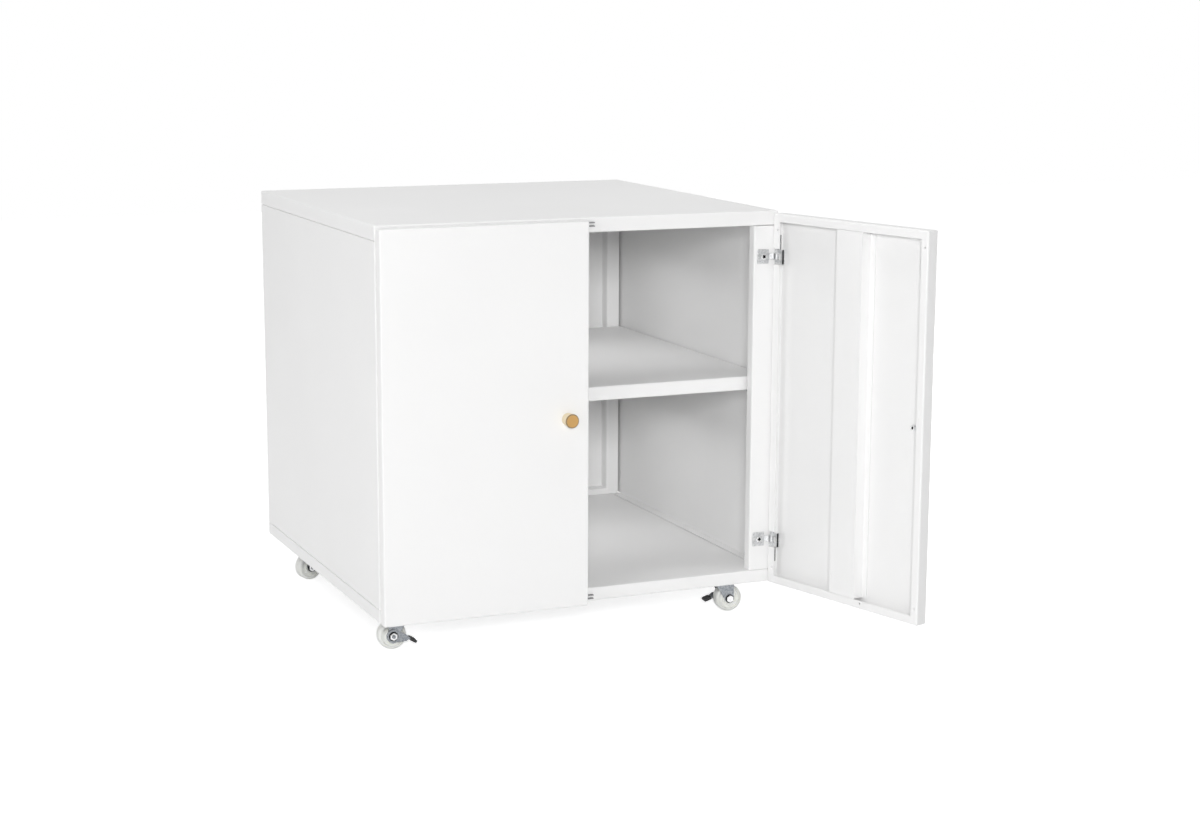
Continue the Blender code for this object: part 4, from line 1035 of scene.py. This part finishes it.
# The stud's end is near-black: painted shade, the dark dot in the middle of the nut
dark = [paint(washer, zinc), paint(stud_end, painted_shade_black)]
stud_model = join_pieces("knob_stud", bright + dark)
inward = Matrix.Translation((0, 0, -DOOR_SHEET - STUD_CLEAR)) @ Matrix.Rotation(pi, 4, "X")
for hand, place in knob_places.items():
    stud = settle(copy_of(stud_model, hand + "_knob_stud"), place @ inward)
    dress(stud, None, "zinc", hand + "_door_set", hand + "_knob_screw")
drop_model(stud_model)
print("knob studs with nuts", 2000 * STUD_NUT_R, "mm over the corners")

# %% [markdown]
# ## Hinge screws
#
# One pan-head screw with a cross recess holds each frame leaf to its stile. The recess is cut with a
# Boolean: two crossed bars, tapered towards the bottom. At this size the dark cross is what one sees.
# No two screws stop at the same turn, so each head is turned on from the last.

# %% Hinge screws
HEAD_R, HEAD_RISE, HEAD_ROUND, HEAD_SEAT = 0.0044, 0.0016, 0.0009, 0.0009
CROSS_LENGTH, CROSS_WIDTH, CROSS_DEPTH, CROSS_TAPER = 0.0066, 0.0026, 0.0012, 0.6
SCREW_R, SCREW_DEPTH, SCREW_LAP = 0.0019, 0.0078, 0.0002
FIRST_TURN, TURN_STEP = 63, 38

screw_model = cylinder(40, HEAD_R, 0, HEAD_RISE)
edit("EDGE")
pick_edges(lambda a, b: min(a.z, b.z) > HEAD_RISE - 1e-5)
bpy.ops.mesh.bevel(offset=HEAD_ROUND, segments=5, affect="EDGES")
done_editing(40)
bars = []
for size in ((CROSS_LENGTH, CROSS_WIDTH), (CROSS_WIDTH, CROSS_LENGTH)):
    bar = block((0, 0, HEAD_RISE), (*size, 2 * CROSS_DEPTH))
    edit()
    pick_faces(lambda c, n: n.z < -0.9)
    bpy.ops.transform.resize(value=(CROSS_TAPER, CROSS_TAPER, 1), center_override=(0, 0, 0))
    done_editing()
    bars.append(bar)
for bar in bars:
    recess = screw_model.modifiers.new("cross", "BOOLEAN")
    recess.operation = "DIFFERENCE"
    recess.solver = "EXACT"
    recess.object = bar
apply_modifiers(screw_model)
drop_model(*bars)
# The cross recess's faces take the near-black finish, as painted shade in the recess
paint(screw_model, nickel).data.materials.append(painted_shade_black)
for face in screw_model.data.polygons:
    inside = 0 < face.center.z < HEAD_RISE - 0.0001 and face.center.xy.length < CROSS_LENGTH / 2 + 1e-4
    face.material_index = 1 if inside else 0
take(screw_model)
bpy.ops.object.shade_smooth_by_angle(angle=radians(35))
turn = FIRST_TURN
for hand in ("left", "right"):
    for level in ("upper", "lower"):
        name = hand + "_" + level + "_hinge_screw"
        lowest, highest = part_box(name)
        middle = (lowest + highest) / 2
        on_leaf = Matrix.Translation((middle.x, lowest.y + HEAD_SEAT, middle.z)) @ facing_front
        head = copy_of(screw_model, name + "_head")
        settle(head, on_leaf @ Matrix.Rotation(radians(turn), 4, "Z"))
        shaft = settle(rod(SCREW_R, -SCREW_DEPTH, SCREW_LAP), on_leaf)
        screw = join_pieces(name + "_pan_head", [head, paint(shaft, nickel)])
        dress(screw, None, "zinc", "carcass", name)
        turn += TURN_STEP
drop_model(screw_model)
print("hinge screws, head", 2000 * HEAD_R, "mm")

# %% [markdown]
# ## Seam strips
#
# The walls and the top are separate folded sheets, and the seam between them is half a millimetre
# wide. With nothing behind it, daylight shows through from behind. The photograph doesn't show how a
# maker closes such a seam; a strip fixed inside the wall is one plain way. Each strip here is a long
# bar with a pressed groove, bevelled, lying against its wall.

# %% Seam strips
WALL_SHEET, STRIP_THICK, STRIP_DROP, STRIP_AIR, STRIP_ENDS = 0.0010, 0.0012, 0.0050, 0.0001, 0.0040
GROOVE_MARGIN, GROOVE_SLOPE, GROOVE_DEPTH, STRIP_BEVEL = 0.0014, 0.0004, 0.0004, 0.0003

top_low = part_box("top_panel")[0].z
for hand, side in (("left", -1), ("right", 1)):
    lowest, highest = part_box(hand + "_side_panel")
    outer = (highest.x if side > 0 else -lowest.x) - WALL_SHEET - STRIP_AIR
    long_way = highest.y - lowest.y - 2 * STRIP_ENDS
    low_edge, high_edge = highest.z - STRIP_DROP, top_low - STRIP_AIR
    middle = (side * (outer - STRIP_THICK / 2), (lowest.y + highest.y) / 2, (low_edge + high_edge) / 2)
    strip = block(middle, (STRIP_THICK, long_way, high_edge - low_edge))
    edit()
    pick_faces(lambda c, n: n.x * side < -0.9)
    bpy.ops.mesh.inset(thickness=GROOVE_MARGIN, depth=0)
    bpy.ops.mesh.inset(thickness=GROOVE_SLOPE, depth=-GROOVE_DEPTH)
    pick_edges(lambda a, b: abs(a.y - b.y) > 0.9 * long_way and abs(a.x) > outer - 1e-5)
    bpy.ops.mesh.bevel(offset=STRIP_BEVEL, segments=2, affect="EDGES")
    done_editing()
    strip.name = strip.data.name = hand + "_seam_strip"
    dress(strip, white_coat, "white_coat", "carcass")
print("seam strips from", round(low_edge, 4), "to", round(high_edge, 4), "m")

# %% [markdown]
